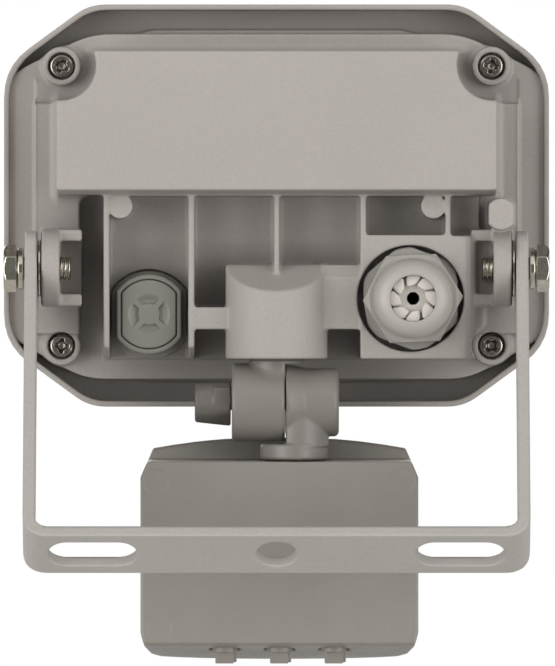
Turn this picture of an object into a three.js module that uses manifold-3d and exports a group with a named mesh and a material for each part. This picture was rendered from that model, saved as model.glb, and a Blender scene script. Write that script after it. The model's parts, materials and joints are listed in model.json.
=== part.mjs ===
// Small LED floodlight on a U bracket, with a jointed motion-sensor and camera head.
// Millimetres, +Z up. The lamp faces -Y and the wall bracket is at the back, towards +Y.
// The origin is the centre of the bracket's middle hole, on the face that meets the wall.
// The housing hangs in the bracket on two bolts whose common axis is parallel to X.

import * as THREE from 'three';
import { mergeVertices } from 'three/addons/utils/BufferGeometryUtils.js';
import Module from 'manifold-3d';

const wasm = await Module();
wasm.setup();

// ---------------------------------------------------------------- driving dimensions

const LEAN = THREE.MathUtils.degToRad(36.5);   // how far the bracket leans back from vertical
const BASE_TO_PIVOT = 86.1;                    // outer face of the bracket base to the pivot axis

const STRAP = { width: 16, thick: 3, outerX: 61.3, bend: 6.5, endBeyondPivot: 1.4 };
const WALL_HOLE = 4.9;                         // radius of the middle hole
const WALL_SLOT = { x: 44.4, long: 21.5, wide: 9.3 };
const PIVOT_BOLT = { shank: 3, across: 11.6, headFrom: 63.3, headTo: 66.5, tip: 50.1 };
const SPRING_WASHER = { radius: 5.1, from: 61.6, to: 63.0, split: 1.2 };
const FLAT_WASHER = { radius: 6.9, from: 57.4, to: 58.1 };

const HALF_W = 66.6;                           // housing, from its middle to its side
const TOP = 64.6;                              // housing top and bottom, from the pivot axis
const BOTTOM = -33.7;
const CORNER = { x: 45.8, drop: 15.2 };        // where the cut corners start
const SKIRT = 1.4;                             // wall of the front frame

const FRONT_Y = -34;                           // levels, from the pivot axis, back is positive
const BEZEL_Y = -31.6;
const GLASS_Y = [-31.3, -28.6];
const RIM_Y = -26.4;
const TROUGH_Y = -24.4;
const CAVITY_Y = -22.5;
const SHELF_Y = -18.5;
const LIP_Y = -17;
const SCREW_SEAT_Y = -16.5;
const LEDGE_Y = -11;
const DECK_Y = 5;
const BOX_Y = 12;

const SCREW_X = 52.5;                          // corner screws
const SCREW_Z = [49.5, -18.8];
const SCREW = { shank: 1.5, head: 2.7, headTop: 2.45, headHigh: 1.8, pilot: 1.8, recess: 3.35, recessDeep: 2.3,
  boss: 4.75, frontBoss: 4 };
const DECK = { top: 18.2, bottom: -22, left: 42.1 };
const BOX = { halfW: 53.8, top: 53.2, bottom: 18, scoop: 8.6 };
const LUG = { inner: 52.8, outer: 57.2, radius: 9.3, z: 0.2, shelfInner: 47.4, shelfBack: 2, slot: [-6.2, 6.7] };
const GLAND = { x: -32.6, z: -7.3, well: 12.95, wellFloor: -2, hex: 12.3, thread: 7.4, bore: 5.6 };
const VENT = { x: 31.1, z: -11.1, seat: 10.9, seatY: -11.5, hole: 5.4, lowZ: -21.4 };

const PAN_Y = 0.5;                             // sensor arm: vertical axis, then hinge axis
const HINGE_Z = -32.6;
const BOSS_R = 12.4;
const KNUCKLE = { wide: 9.5, narrow: 8.3, split: -2.2, left: 10.9, right: -15.2 };
const PAN_PIN = { radius: 6.4, bore: 6.8, top: -11.5, boreTop: -8.5, neck: 6.7, grooveZ: [-15.2, -14], wireWay: 2.8 };
const HEAD_NECK = { x: -4.3, archX: -6.5, arch: 8.1, flange: 8.3, flangeTop: -42.8, flangeLow: -46.6, stem: 5,
  stemLow: -52, wireWay: 2.5 };
const HINGE_SCREW = { shank: 2, head: 3.5, bore: 2.3, nut: 3.8, counterbore: 3.9 };

const HEAD = { x: -0.7, halfW: 33.8, back: PAN_Y + 9, coverIn: PAN_Y + 6.6, front: PAN_Y - 19.5, wall: 2 };
const HEAD_TOP = { back: -47, front: -41 };
const HEAD_LOW = { back: -91.2, front: -95.6 };
const KNOB_X = [12.6, -0.7, -14];
const KNOB_Y = PAN_Y - 0.9;
const KNOB_R = 3.3;

const GAP = 0.3;                               // space left between neighbouring pieces

// ---------------------------------------------------------------- solid helpers

function toSolid(geometry) {
  geometry.deleteAttribute('normal');
  geometry.deleteAttribute('uv');
  const merged = mergeVertices(geometry, 1e-4);
  const index = merged.index.array;
  const faces = [];
  for (let i = 0; i < index.length; i += 3) {
    const [a, b, c] = [index[i], index[i + 1], index[i + 2]];
    if (a !== b && b !== c && a !== c) faces.push(a, b, c);
  }
  const vertProperties = new Float32Array(merged.attributes.position.array);
  const triVerts = new Uint32Array(faces);
  return new wasm.Manifold(new wasm.Mesh({ numProp: 3, vertProperties, triVerts }));
}

function toGeometry(solid) {
  const mesh = solid.getMesh();
  const geometry = new THREE.BufferGeometry();
  geometry.setAttribute('position', new THREE.BufferAttribute(mesh.vertProperties, 3));
  geometry.setIndex(new THREE.BufferAttribute(mesh.triVerts, 1));
  geometry.computeVertexNormals();
  return geometry;
}

const join = (first, ...rest) => rest.reduce((sum, solid) => sum.add(solid), first);
const cut = (first, ...rest) => rest.reduce((left, solid) => left.subtract(solid), first);

function block(x0, x1, y0, y1, z0, z1) {
  const geometry = new THREE.BoxGeometry(Math.abs(x1 - x0), Math.abs(y1 - y0), Math.abs(z1 - z0));
  geometry.translate((x0 + x1) / 2, (y0 + y1) / 2, (z0 + z1) / 2);
  return toSolid(geometry);
}

// A cylinder or cone along X, Y or Z; centre gives the other two coordinates in x, y, z order.
function rod(axis, radius, from, to, centre, sides = 24, endRadius = radius) {
  const geometry = new THREE.CylinderGeometry(endRadius, radius, to - from, sides);
  const middle = (from + to) / 2;
  if (axis === 'x') {
    geometry.rotateZ(-Math.PI / 2);
    geometry.translate(middle, centre[0], centre[1]);
  } else if (axis === 'y') {
    geometry.translate(centre[0], middle, centre[1]);
  } else {
    geometry.rotateX(Math.PI / 2);
    geometry.translate(centre[0], centre[1], middle);
  }
  return toSolid(geometry);
}

const AXIS = {
  x: new THREE.Vector3(1, 0, 0),
  y: new THREE.Vector3(0, 1, 0),
  z: new THREE.Vector3(0, 0, 1),
};

function extrude(shape, depth, curveSegments) {
  return new THREE.ExtrudeGeometry(shape, { depth, bevelEnabled: false, curveSegments });
}

// An outline in x and z, drawn out along Y.
function slab(shape, y0, y1, curveSegments = 6) {
  const geometry = extrude(shape, y1 - y0, curveSegments);
  geometry.applyMatrix4(new THREE.Matrix4().makeBasis(AXIS.x, AXIS.z, AXIS.y.clone().negate()));
  geometry.translate(0, y1, 0);
  return toSolid(geometry);
}

// An outline in y and z, drawn out along X.
function side(shape, x0, x1, curveSegments = 6) {
  const geometry = extrude(shape, x1 - x0, curveSegments);
  geometry.applyMatrix4(new THREE.Matrix4().makeBasis(AXIS.y, AXIS.z, AXIS.x));
  geometry.translate(x0, 0, 0);
  return toSolid(geometry);
}

// An outline in x and y, drawn out along Z.
function column(shape, z0, z1, curveSegments = 6) {
  const geometry = extrude(shape, z1 - z0, curveSegments);
  geometry.translate(0, 0, z0);
  return toSolid(geometry);
}

function polygon(points) {
  return new THREE.Shape(points.map(([a, b]) => new THREE.Vector2(a, b)));
}

// A polygon whose corners are rounded, starting `reach` before each corner.
function rounded(points, reach) {
  const shape = new THREE.Shape();
  points.forEach(([cx, cy], i) => {
    const corner = new THREE.Vector2(cx, cy);
    const last = new THREE.Vector2(...points[(i + points.length - 1) % points.length]);
    const next = new THREE.Vector2(...points[(i + 1) % points.length]);
    const length = Array.isArray(reach) ? reach[i] : reach;
    const enter = corner.clone().add(last.sub(corner).setLength(length));
    const leave = corner.clone().add(next.sub(corner).setLength(length));
    if (i === 0) shape.moveTo(enter.x, enter.y);
    else shape.lineTo(enter.x, enter.y);
    shape.quadraticCurveTo(cx, cy, leave.x, leave.y);
  });
  shape.closePath();
  return shape;
}

const roundRect = (x0, x1, z0, z1, reach) =>
  rounded([[x0, z0], [x1, z0], [x1, z1], [x0, z1]], reach);

function mirrored(half) {
  return half.concat(half.map(([x, z]) => [-x, z]).reverse());
}

// A circle with two flats that face +X and -X.
function flatted(x, z, radius, halfFlat) {
  const angle = Math.acos(halfFlat / radius);
  const shape = new THREE.Shape();
  shape.absarc(x, z, radius, angle, Math.PI - angle, false);
  shape.absarc(x, z, radius, Math.PI + angle, -angle, false);
  shape.closePath();
  return shape;
}

function ring(axis, outer, inner, from, to, centre, sides = 20) {
  const over = 0.5;
  return rod(axis, outer, from, to, centre, sides)
    .subtract(rod(axis, inner, from - over, to + over, centre, sides));
}

// ---------------------------------------------------------------- materials

function material(color, roughness, metalness = 0, extra = {}) {
  return new THREE.MeshStandardMaterial({ color, roughness, metalness, ...extra });
}

const FINISH = {
  casting: material(0xaaa59f, 0.55, 0.25),
  strap: material(0xaba69f, 0.5, 0.25),
  head: material(0x8b857d, 0.45),
  arm: material(0x918b83, 0.45),
  grey: material(0x96928c, 0.4),
  steel: material(0xc9c3b6, 0.28, 1),
  rubber: material(0x2c2b2a, 0.85),
  softGrey: material(0x77736e, 0.8),
  glass: material(0xdfe8ea, 0.05, 0, { transparent: true, opacity: 0.3 }),
  lens: material(0xe8e6e0, 0.35),
  dark: material(0x101114, 0.15),
  mirror: material(0xd9dadb, 0.2, 0.9),
  board: material(0x1f5a3a, 0.5),
  whiteBoard: material(0xe9e9e4, 0.5),
  phosphor: material(0xe9c64a, 0.4),
  pad: material(0x8fa3ad, 0.9),
  ferrite: material(0x3a3633, 0.7),
  can: material(0x25304a, 0.4),
};

const housing = new THREE.Group();
const bracketGroup = new THREE.Group();
const object = new THREE.Group();

function put(group, name, solid, finish) {
  const mesh = new THREE.Mesh(toGeometry(solid), finish);
  mesh.name = name;
  group.add(mesh);
}

// ---------------------------------------------------------------- bracket and pivot bolts

// The strap in its own frame: base face at z = 0, pivot axis at z = BASE_TO_PIVOT.
function makeBracket() {
  const out = STRAP.outerX;
  const inn = out - STRAP.thick;
  const half = STRAP.width / 2;
  const tall = BASE_TO_PIVOT + STRAP.endBeyondPivot;
  const outer = rounded([[-out, 0], [out, 0], [out, tall + half], [-out, tall + half]],
    [STRAP.bend, STRAP.bend, 0.01, 0.01]);
  const innerBend = STRAP.bend - STRAP.thick;
  const inner = rounded([[-inn, STRAP.thick], [inn, STRAP.thick], [inn, tall + 20], [-inn, tall + 20]],
    [innerBend, innerBend, 0.01, 0.01]);
  const strap = slab(outer, -half, half, 5).subtract(slab(inner, -half - 1, half + 1, 5));
  const armEnds = join(rod('x', half, -out - 1, out + 1, [0, tall], 28),
    block(-out - 1, out + 1, -half, half, -1, tall));
  const slots = [-WALL_SLOT.x, WALL_SLOT.x].map((x) => {
    const endX = (WALL_SLOT.long - WALL_SLOT.wide) / 2;
    const radius = WALL_SLOT.wide / 2;
    const span = [-1, STRAP.thick + 1];
    return join(rod('z', radius, ...span, [x - endX, 0], 20), rod('z', radius, ...span, [x + endX, 0], 20),
      block(x - endX, x + endX, -radius, radius, ...span));
  });
  const wallHole = rod('z', WALL_HOLE, -1, STRAP.thick + 1, [0, 0], 28);
  const boltHoles = rod('x', PIVOT_BOLT.shank + GAP, -out - 1, out + 1, [0, BASE_TO_PIVOT], 20);
  return cut(strap.intersect(armEnds), ...slots, wallHole, boltHoles);
}

function makePivotBolt(hand) {
  const { shank, across, headFrom, headTo, tip } = PIVOT_BOLT;
  const span = (a, b) => (hand > 0 ? [a, b] : [-b, -a]);
  const head = rod('x', across / 2, ...span(headFrom, headTo), [0, 0], 6);
  return join(head, rod('x', shank, ...span(tip, headFrom + 0.5), [0, 0], 20));
}

function addPivots() {
  const shank = PIVOT_BOLT.shank + GAP;
  for (const [name, hand] of [['left', 1], ['right', -1]]) {
    const span = (a, b) => (hand > 0 ? [a, b] : [-b, -a]);
    put(housing, `pivot_bolt_${name}`, makePivotBolt(hand), FINISH.steel);
    const { radius, from, to, split } = SPRING_WASHER;
    const spring = cut(ring('x', radius, shank, ...span(from, to), [0, 0]),
      block(...span(from - 1, to + 1), -split / 2, split / 2, shank - 1, radius + 1));
    put(housing, `spring_washer_${name}`, spring, FINISH.steel);
    const flat = ring('x', FLAT_WASHER.radius, shank, ...span(FLAT_WASHER.from, FLAT_WASHER.to), [0, 0]);
    put(housing, `flat_washer_${name}`, flat, FINISH.steel);
  }
}

// ---------------------------------------------------------------- housing outlines

function octagon(halfW, top, bottom, cornerX, drop) {
  return mirrored([[cornerX, bottom], [halfW, bottom + drop], [halfW, top - drop], [cornerX, top]]);
}

// The housing outline moved in by `inset` on every side.
function housingOutline(inset) {
  const run = HALF_W - CORNER.x;
  const slope = Math.hypot(run, CORNER.drop);
  const nx = CORNER.drop / slope;
  const nz = run / slope;
  const level = nx * CORNER.x + nz * TOP - inset;
  const cornerX = (level - nz * (TOP - inset)) / nx;
  const drop = TOP - inset - (level - nx * (HALF_W - inset)) / nz;
  return rounded(octagon(HALF_W - inset, TOP - inset, BOTTOM + inset, cornerX, drop),
    [4, 7.4, 7.4, 4, 4, 7.4, 7.4, 4]);
}

const windowOutline = (grow) => rounded(mirrored([
  [31 + grow * 0.4, -23 - grow], [54 + grow, -6.5 - grow * 0.5],
  [54 + grow, 37 + grow * 0.55], [30.6 + grow * 0.4, 54 + grow],
]), 3);

const atCorners = (make) => SCREW_Z.flatMap((z) => [-SCREW_X, SCREW_X].map((x) => make(x, z)));

// ---------------------------------------------------------------- front of the lamp

function makeFrontFrame() {
  const shell = slab(housingOutline(0), FRONT_Y, LIP_Y, 5);
  const inside = slab(housingOutline(SKIRT), BEZEL_Y, LIP_Y + 1, 5);
  const window = slab(windowOutline(0), FRONT_Y - 1, BEZEL_Y + 1, 3);
  const bosses = atCorners((x, z) => rod('y', SCREW.frontBoss, BEZEL_Y - 0.5, RIM_Y - GAP, [x, z], 12));
  const bores = atCorners((x, z) => rod('y', SCREW.pilot, BEZEL_Y + 0.3, RIM_Y, [x, z], 8));
  return cut(join(cut(shell, inside, window), ...bosses), ...bores);
}

const LED_BOARD = { halfX: 24, halfZ: 15, thick: 1.6, aboveFloor: 0.9 };
const LED_ARRAY = { radius: 11, thick: 1.05 };
const THERMAL_PAD = { halfX: 22, halfZ: 14 };

// Four-sided reflector that widens from the LED board to the window.
function makeReflector(front, back) {
  const window = { halfW: 46.5, middleZ: 15.5, tall: 0.72 };
  const narrow = { halfW: 30, wall: 1.2 };
  const funnel = (near, far, y0, y1) => {
    const cone = new THREE.CylinderGeometry(near * Math.SQRT2, far * Math.SQRT2, y1 - y0, 4);
    cone.rotateY(Math.PI / 4);
    cone.scale(1, 1, window.tall);
    cone.translate(0, (y0 + y1) / 2, window.middleZ);
    return toSolid(cone);
  };
  const inner = funnel(narrow.halfW - narrow.wall, window.halfW - narrow.wall, front - 0.01, back + 0.01);
  const outer = funnel(narrow.halfW, window.halfW, front, back);
  const plate = slab(windowOutline(0), front, front + 1, 3);
  const room = 3;
  const forBoard = block(-LED_BOARD.halfX - room, LED_BOARD.halfX + room, back - room - 0.4, back + 1,
    -LED_BOARD.halfZ - room, LED_BOARD.halfZ + room);
  const behindWindow = join(slab(windowOutline(0), front, RIM_Y - GAP, 3),
    slab(windowOutline(-3), RIM_Y - GAP - 0.1, back + 1, 3));
  return cut(join(plate, outer), inner, forBoard).intersect(behindWindow);
}

function addLightEngine() {
  put(housing, 'front_frame', makeFrontFrame(), FINISH.casting);
  put(housing, 'front_glass', slab(windowOutline(4), ...GLASS_Y, 3), FINISH.glass);
  const gasket = cut(slab(windowOutline(4), GLASS_Y[1] + 0.2, RIM_Y - 0.2, 3),
    slab(windowOutline(0.6), GLASS_Y[1] - 1, RIM_Y + 1, 3));
  put(housing, 'glass_gasket', gasket, FINISH.rubber);
  put(housing, 'reflector', makeReflector(GLASS_Y[1] + GAP, CAVITY_Y - GAP), FINISH.mirror);

  const { halfX, halfZ, thick, aboveFloor } = LED_BOARD;
  const boardBack = CAVITY_Y - aboveFloor;
  const boardFront = boardBack - thick;
  put(housing, 'thermal_pad', block(-THERMAL_PAD.halfX, THERMAL_PAD.halfX, boardBack + 0.15, CAVITY_Y - 0.15,
    -THERMAL_PAD.halfZ, THERMAL_PAD.halfZ), FINISH.pad);
  put(housing, 'led_board', block(-halfX, halfX, boardFront, boardBack, -halfZ, halfZ), FINISH.whiteBoard);
  const arrayBack = boardFront - 0.15;
  const array = rod('y', LED_ARRAY.radius, arrayBack - LED_ARRAY.thick, arrayBack, [0, 0], 32);
  put(housing, 'led_array', array, FINISH.phosphor);
}

// ---------------------------------------------------------------- rear casting

const CAVITY = { halfW: 51.4, bottom: 21, top: 51, roof: BOX_Y - 2.2 };
const DUCT = { x0: -41.4, x1: -24, z0: -19, z1: 22, y0: -19.5, y1: -6 };
const BAY_FLOOR = { shelf: -8, crease: 6.9, low: -17, lowZ: -21.1 };

// Pockets between the cooling ribs: x from, x to. The gland pocket and the one by the lug are shallow.
const BAYS = [[21.5, 40.7], [0.6, 20], [-20.4, -0.7]];
const GLAND_POCKET = { x0: -41.1, x1: -21.8, floor: -3, low: 8.2 };
const LUG_POCKET = { x0: -49.6, x1: -42.4, floor: -10, low: 8 };

function makePockets() {
  const { shelf, crease, low, lowZ } = BAY_FLOOR;
  const over = BOX_Y + 1;
  const high = DECK.top - 0.3;
  const profile = polygon([[over, lowZ], [over, high], [shelf, high], [shelf, crease], [low, lowZ]]);
  const bays = BAYS.map(([x0, x1]) => side(profile, x0, x1));
  const shallow = [GLAND_POCKET, LUG_POCKET].map(({ x0, x1, floor, low: lowEdge }) =>
    block(x0, x1, floor, over, lowEdge, high));
  return [...bays, ...shallow];
}

// The raised part behind the LEDs: ribs on the left, the gland plate on the right.
function makeDeck() {
  const slope = 6;
  const right = -47;
  const outline = polygon([[DECK.left, TROUGH_Y], [DECK.left, DECK_Y], [right, DECK_Y],
    [right - slope, LEDGE_Y + 1], [right - slope, TROUGH_Y]]);
  const deck = column(outline, DECK.bottom, DECK.top);
  const scoops = SCREW_Z.map((z) => rod('y', BOX.scoop - 2, SHELF_Y, BOX_Y, [-SCREW_X, z], 20));
  return cut(deck, ...scoops, ...makePockets());
}

// Round boss for the sensor arm, with a sloped top, tied to the ribs by a bar on each side.
const ARM_BOSS = { top: 1, slopeFor: 15, slopeDrop: 8, barFrom: 12, barTo: 20.6, barLow: -14.8,
  leftBarTop: -9.4, rightBarTop: -2.2, rightBarPeak: 0.9, rightBarSlope: 2.5 };

function makeArmBoss() {
  const { top, slopeFor, slopeDrop, barFrom, barTo, barLow, leftBarTop, rightBarTop, rightBarPeak,
    rightBarSlope } = ARM_BOSS;
  const leftBar = block(barFrom, barTo, SHELF_Y, DECK_Y, barLow, leftBarTop);
  const rightBar = side(polygon([[SHELF_Y, barLow], [SHELF_Y, rightBarPeak], [DECK_Y - rightBarSlope, rightBarPeak],
    [DECK_Y, rightBarTop], [DECK_Y, barLow]]), -barTo, -barFrom);
  const post = rod('z', BOSS_R, DECK.bottom, top, [0, PAN_Y], 32);
  const slopeCut = side(polygon([[PAN_Y, top + 0.01], [PAN_Y, top + 2], [PAN_Y + slopeFor, top + 2],
    [PAN_Y + slopeFor, top - slopeDrop]]), -BOSS_R - 1, BOSS_R + 1);
  return join(post.subtract(slopeCut), leftBar, rightBar);
}

function makeLug(hand) {
  const span = (a, b) => (hand > 0 ? [a, b] : [-b, -a]);
  const { inner, outer, radius, z, shelfInner, shelfBack, slot } = LUG;
  const cheek = join(rod('x', radius, ...span(inner, outer), [0, z], 24),
    block(...span(inner, outer), TROUGH_Y, 0, z - radius, z + radius));
  const shelves = [[slot[1], z + radius], [z - radius, slot[0]]].map(([z0, z1]) =>
    block(...span(shelfInner, inner + 0.5), TROUGH_Y, shelfBack, z0, z1));
  return join(cheek, ...shelves);
}

// Ledge beside the driver box, and the wing between it and the skirt.
const LEDGE = { inner: 50, outer: 59.1, low: -15.9, top: 40.4, wingTop: 46.5, wingOuter: 65.2 };

// Concave run from the wing beside the skirt up to the ledge.
function makeSideCove(hand) {
  const foot = LEDGE.outer - 0.1;
  const profile = [[foot, SHELF_Y], [foot, LEDGE_Y], [59.6, -14], [61, -15.9], [62.8, LIP_Y],
    [LEDGE.wingOuter, LIP_Y], [LEDGE.wingOuter, SHELF_Y]].map(([x, y]) => [hand * x, y]);
  return column(polygon(profile), LEDGE.low, LEDGE.wingTop);
}

function makeCastingBody() {
  const inSkirt = slab(housingOutline(SKIRT + GAP), RIM_Y, BOX_Y + 1, 5);
  const flange = slab(housingOutline(SKIRT + GAP), RIM_Y, TROUGH_Y, 5);
  const shelf = slab(rounded(mirrored([[46.9, -27], [58.4, -20.6], [64.9, -16.8], [64.9, 47], [62.1, 49.1],
    [45.5, 57.4]]), 1.2), RIM_Y, SHELF_Y, 3);
  const ledges = [1, -1].map((hand) =>
    block(hand * LEDGE.inner, hand * LEDGE.outer, RIM_Y, LEDGE_Y, LEDGE.low, LEDGE.top));
  const box = slab(roundRect(-BOX.halfW, BOX.halfW, BOX.bottom, BOX.top, 1), RIM_Y, BOX_Y, 3);
  const scoops = [-SCREW_X, SCREW_X].map((x) =>
    rod('y', BOX.scoop, SHELF_Y - 1, BOX_Y + 1, [x, SCREW_Z[0]], 24));
  const bosses = atCorners((x, z) => rod('y', SCREW.boss, RIM_Y, SCREW_SEAT_Y + SCREW.recessDeep, [x, z], 16));
  const body = cut(join(shelf, box), ...scoops);
  return join(body, flange, ...ledges, makeSideCove(1), makeSideCove(-1), ...bosses).intersect(inSkirt);
}

const EJECTOR_PAD = { x: [38.05, -38.2], z: 15.2, radius: 3.05 };
const PEG = { x: -54.7, z: 13.2, radius: 3.9, halfFlat: 3.1 };

// Round pad that the vent plug sits on, between the first two ribs.
function makeVentPad() {
  const [x0, x1] = BAYS[0];
  return rod('y', VENT.seat, TROUGH_Y, VENT.seatY, [VENT.x, VENT.z], 24)
    .intersect(block(x0 - 0.5, x1 + 0.5, TROUGH_Y, 0, VENT.lowZ - 0.1, 0));
}

function makeRearCasting() {
  const pads = EJECTOR_PAD.x.map((x) =>
    rod('y', EJECTOR_PAD.radius, BAY_FLOOR.shelf, DECK_Y - 0.5, [x, EJECTOR_PAD.z], 14));
  const peg = slab(flatted(PEG.x, PEG.z, PEG.radius, PEG.halfFlat), TROUGH_Y, BOX_Y, 10);
  const outside = join(makeCastingBody(), makeDeck(), makeArmBoss(), makeLug(1), makeLug(-1), makeVentPad(),
    ...pads, peg);

  const driverBay = cut(block(-CAVITY.halfW, CAVITY.halfW, RIM_Y - 1, CAVITY.roof, CAVITY.bottom, CAVITY.top),
    ...atCorners((x, z) => rod('y', BOX.scoop + 2, RIM_Y - 2, BOX_Y, [x, z], 20)));
  const ledBay = slab(windowOutline(-2), RIM_Y - 1, CAVITY_Y, 3);
  const duct = block(DUCT.x0, DUCT.x1, DUCT.y0, DUCT.y1, DUCT.z0, DUCT.z1);
  const screwHoles = atCorners((x, z) => join(rod('y', SCREW.recess, SCREW_SEAT_Y, SCREW_SEAT_Y + 5, [x, z], 16),
    rod('y', SCREW.pilot, RIM_Y - 1, SCREW_SEAT_Y + 1, [x, z], 8)));
  const boltHoles = [1, -1].map((hand) => {
    const ends = [hand * (LUG.shelfInner - 1), hand * HALF_W].sort((a, b) => a - b);
    return rod('x', PIVOT_BOLT.shank + GAP, ...ends, [0, 0], 20);
  });
  const glandWell = rod('y', GLAND.well, GLAND.wellFloor, BOX_Y, [GLAND.x, GLAND.z], 28);
  const glandHole = rod('y', GLAND.thread + 0.4, DUCT.y1 - 1, 0, [GLAND.x, GLAND.z], 16);
  const ventHole = rod('y', VENT.hole, RIM_Y, 0, [VENT.x, VENT.z], 12);
  const ventSeat = rod('y', VENT.seat, VENT.seatY, DECK_Y, [VENT.x, VENT.z], 24)
    .intersect(block(BAYS[0][0], BAYS[0][1], VENT.seatY - 1, DECK_Y, VENT.lowZ, 0));
  const panBore = rod('z', PAN_PIN.bore, DECK.bottom - 1, PAN_PIN.boreTop, [0, PAN_Y], 24);
  const wireWay = rod('y', 2.4, RIM_Y, PAN_Y, [0, -11.5], 10);
  return cut(outside, driverBay, ledBay, duct, ...screwHoles, ...boltHoles, glandWell, glandHole,
    ventHole, ventSeat, panBore, wireWay);
}

// ---------------------------------------------------------------- inside the lamp

function addDriver() {
  const board = { x: 43, z0: 24, z1: 43.6, front: -9.6, back: -8 };
  const on = board.back + 0.15;
  put(housing, 'driver_board', block(-board.x, board.x, board.front, board.back, board.z0, board.z1),
    FINISH.board);
  const core = cut(block(-2, 17, on, 7.6, 27, 43), block(2, 13, 3, 9, 30, 40));
  put(housing, 'driver_transformer', core, FINISH.ferrite);
  put(housing, 'driver_capacitor', rod('x', 5, 20, 38, [on + 5.1, 35], 20), FINISH.can);
  const terminal = cut(block(-36, -18, on, 5.5, 28, 40),
    ...[-32.5, -27, -21.5].map((x) => rod('y', 1.6, 2, 7, [x, 34], 12)),
    ...[-32.5, -27, -21.5].map((x) => block(x - 1.7, x + 1.7, -5.5, -1.5, 26, 31)));
  put(housing, 'terminal_block', terminal, FINISH.whiteBoard);
}

function makeCornerScrew(x, z) {
  const seat = SCREW_SEAT_Y + 0.2;
  const head = rod('y', SCREW.head, seat, seat + SCREW.headHigh, [x, z], 16, SCREW.headTop);
  const cross = join(block(x - 1.5, x + 1.5, seat + 0.7, seat + 3, z - 0.35, z + 0.35),
    block(x - 0.35, x + 0.35, seat + 0.7, seat + 3, z - 1.5, z + 1.5));
  return join(head.subtract(cross), rod('y', SCREW.shank, BEZEL_Y + 0.8, seat + 0.2, [x, z], 8));
}

function addCornerScrews() {
  const places = { top_left: [1, 0], top_right: [-1, 0], bottom_left: [1, 1], bottom_right: [-1, 1] };
  for (const [name, [hand, row]] of Object.entries(places)) {
    put(housing, `corner_screw_${name}`, makeCornerScrew(hand * SCREW_X, SCREW_Z[row]), FINISH.steel);
  }
}

// Cable gland through the casting wall: body, nut inside, dome nut and slit seal outside.
function addCableGland() {
  const at = [GLAND.x, GLAND.z];
  const hex = rod('y', GLAND.hex, GLAND.wellFloor + GAP, 3.2, at, 6);
  const body = cut(join(hex, rod('y', GLAND.thread, -11.5, -1.5, at, 18), rod('y', 8, 3, 11, at, 18)),
    rod('y', GLAND.bore, -12, 12, at, 18));
  put(housing, 'gland_body', body, FINISH.grey);
  put(housing, 'gland_lock_nut', cut(rod('y', 9.8, -9.2, -6.3, at, 6), rod('y', 7.7, -10, -6, at, 18)),
    FINISH.grey);
  const profile = [[8.3, 3.5], [12.1, 3.5], [12.1, 8.2], [10.4, 9], [10.3, 13], [9.2, 15.4], [7.4, 16.6],
    [5.7, 16.9], [5.7, 12.8], [8.3, 12.8], [8.3, 3.5]];
  const lathe = new THREE.LatheGeometry(profile.map(([r, y]) => new THREE.Vector2(r, y)), 24);
  lathe.translate(GLAND.x, 0, GLAND.z);
  put(housing, 'gland_cap_nut', toSolid(lathe), FINISH.grey);
  const sealDisc = join(rod('y', 5.4, 11.3, 15.2, at, 18), rod('y', 7.9, 11.3, 12.5, at, 18));
  const star = [0, 60, 120].map((angle) => {
    const slit = new THREE.BoxGeometry(9.6, 12, 0.5);
    slit.rotateY(THREE.MathUtils.degToRad(angle));
    slit.translate(GLAND.x, 14, GLAND.z);
    return toSolid(slit);
  });
  put(housing, 'gland_seal', cut(sealDisc, rod('y', 1.7, 10, 17, at, 10), ...star.map((slit) =>
    slit.intersect(rod('y', 4.8, 10, 17, at, 18)))), FINISH.softGrey);
}

// Pressure-equalising plug between two cooling ribs.
function addVentPlug() {
  const at = [VENT.x, VENT.z];
  const washer = ring('y', 8.6, 5.5, -11.3, -10.5, at, 20);
  put(housing, 'vent_o_ring', washer, FINISH.rubber);
  const skirt = rod('y', 10.5, -10.2, -8.4, at, 28).intersect(block(21.8, 40.4, -20, 0, -21.2, 0));
  const rim = slab(flatted(...at, 9.75, 7.9), -8.5, -2.4, 10);
  const well = slab(flatted(...at, 8.7, 6.9), -6.5, -1, 10);
  const stem = rod('y', 5, -17.5, -10, at, 14);
  put(housing, 'vent_plug', cut(join(skirt, rim, stem), well, rod('y', 3, -20, -5, at, 10)), FINISH.grey);
  const cap = slab(flatted(...at, 8.35, 6.6), -6.3, -1.8, 10);
  const arcs = ring('y', 4.9, 2.9, -3, -1, at, 20);
  const spokes = [45, 135].map((angle) => {
    const bar = new THREE.BoxGeometry(14, 4, 2.1);
    bar.rotateY(THREE.MathUtils.degToRad(angle));
    bar.translate(VENT.x, -2, VENT.z);
    return toSolid(bar);
  });
  put(housing, 'vent_cap', cap.subtract(cut(arcs, ...spokes)), FINISH.grey);
}

// ---------------------------------------------------------------- sensor arm

const hingeRod = (radius, x0, x1, sides = 24) => rod('x', radius, x0, x1, [PAN_Y, HINGE_Z], sides);

function makePanKnuckle() {
  const { wide, left, split } = KNUCKLE;
  const { radius, top, neck, grooveZ, wireWay } = PAN_PIN;
  const onPin = [0, PAN_Y];
  const pin = rod('z', radius, DECK.bottom - 1, top, onPin, 20);
  const groove = ring('z', radius + 1.6, radius - 1.1, ...grooveZ, onPin, 20);
  const barrel = hingeRod(wide, split + 0.15, left, 28);
  const shoulder = DECK.bottom - 1.2;
  const clearOfPartner = join(block(split + 0.15, 20, -20, 20, -50, shoulder),
    block(-9, 9, -9, 9, shoulder, 0));
  const stub = rod('z', neck, HINGE_Z, DECK.bottom - GAP, onPin, 20).intersect(clearOfPartner);
  return cut(join(barrel, stub, pin), groove, hingeRod(HINGE_SCREW.bore, -20, 20, 12),
    rod('z', wireWay, HINGE_Z, 0, onPin, 12));
}

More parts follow.
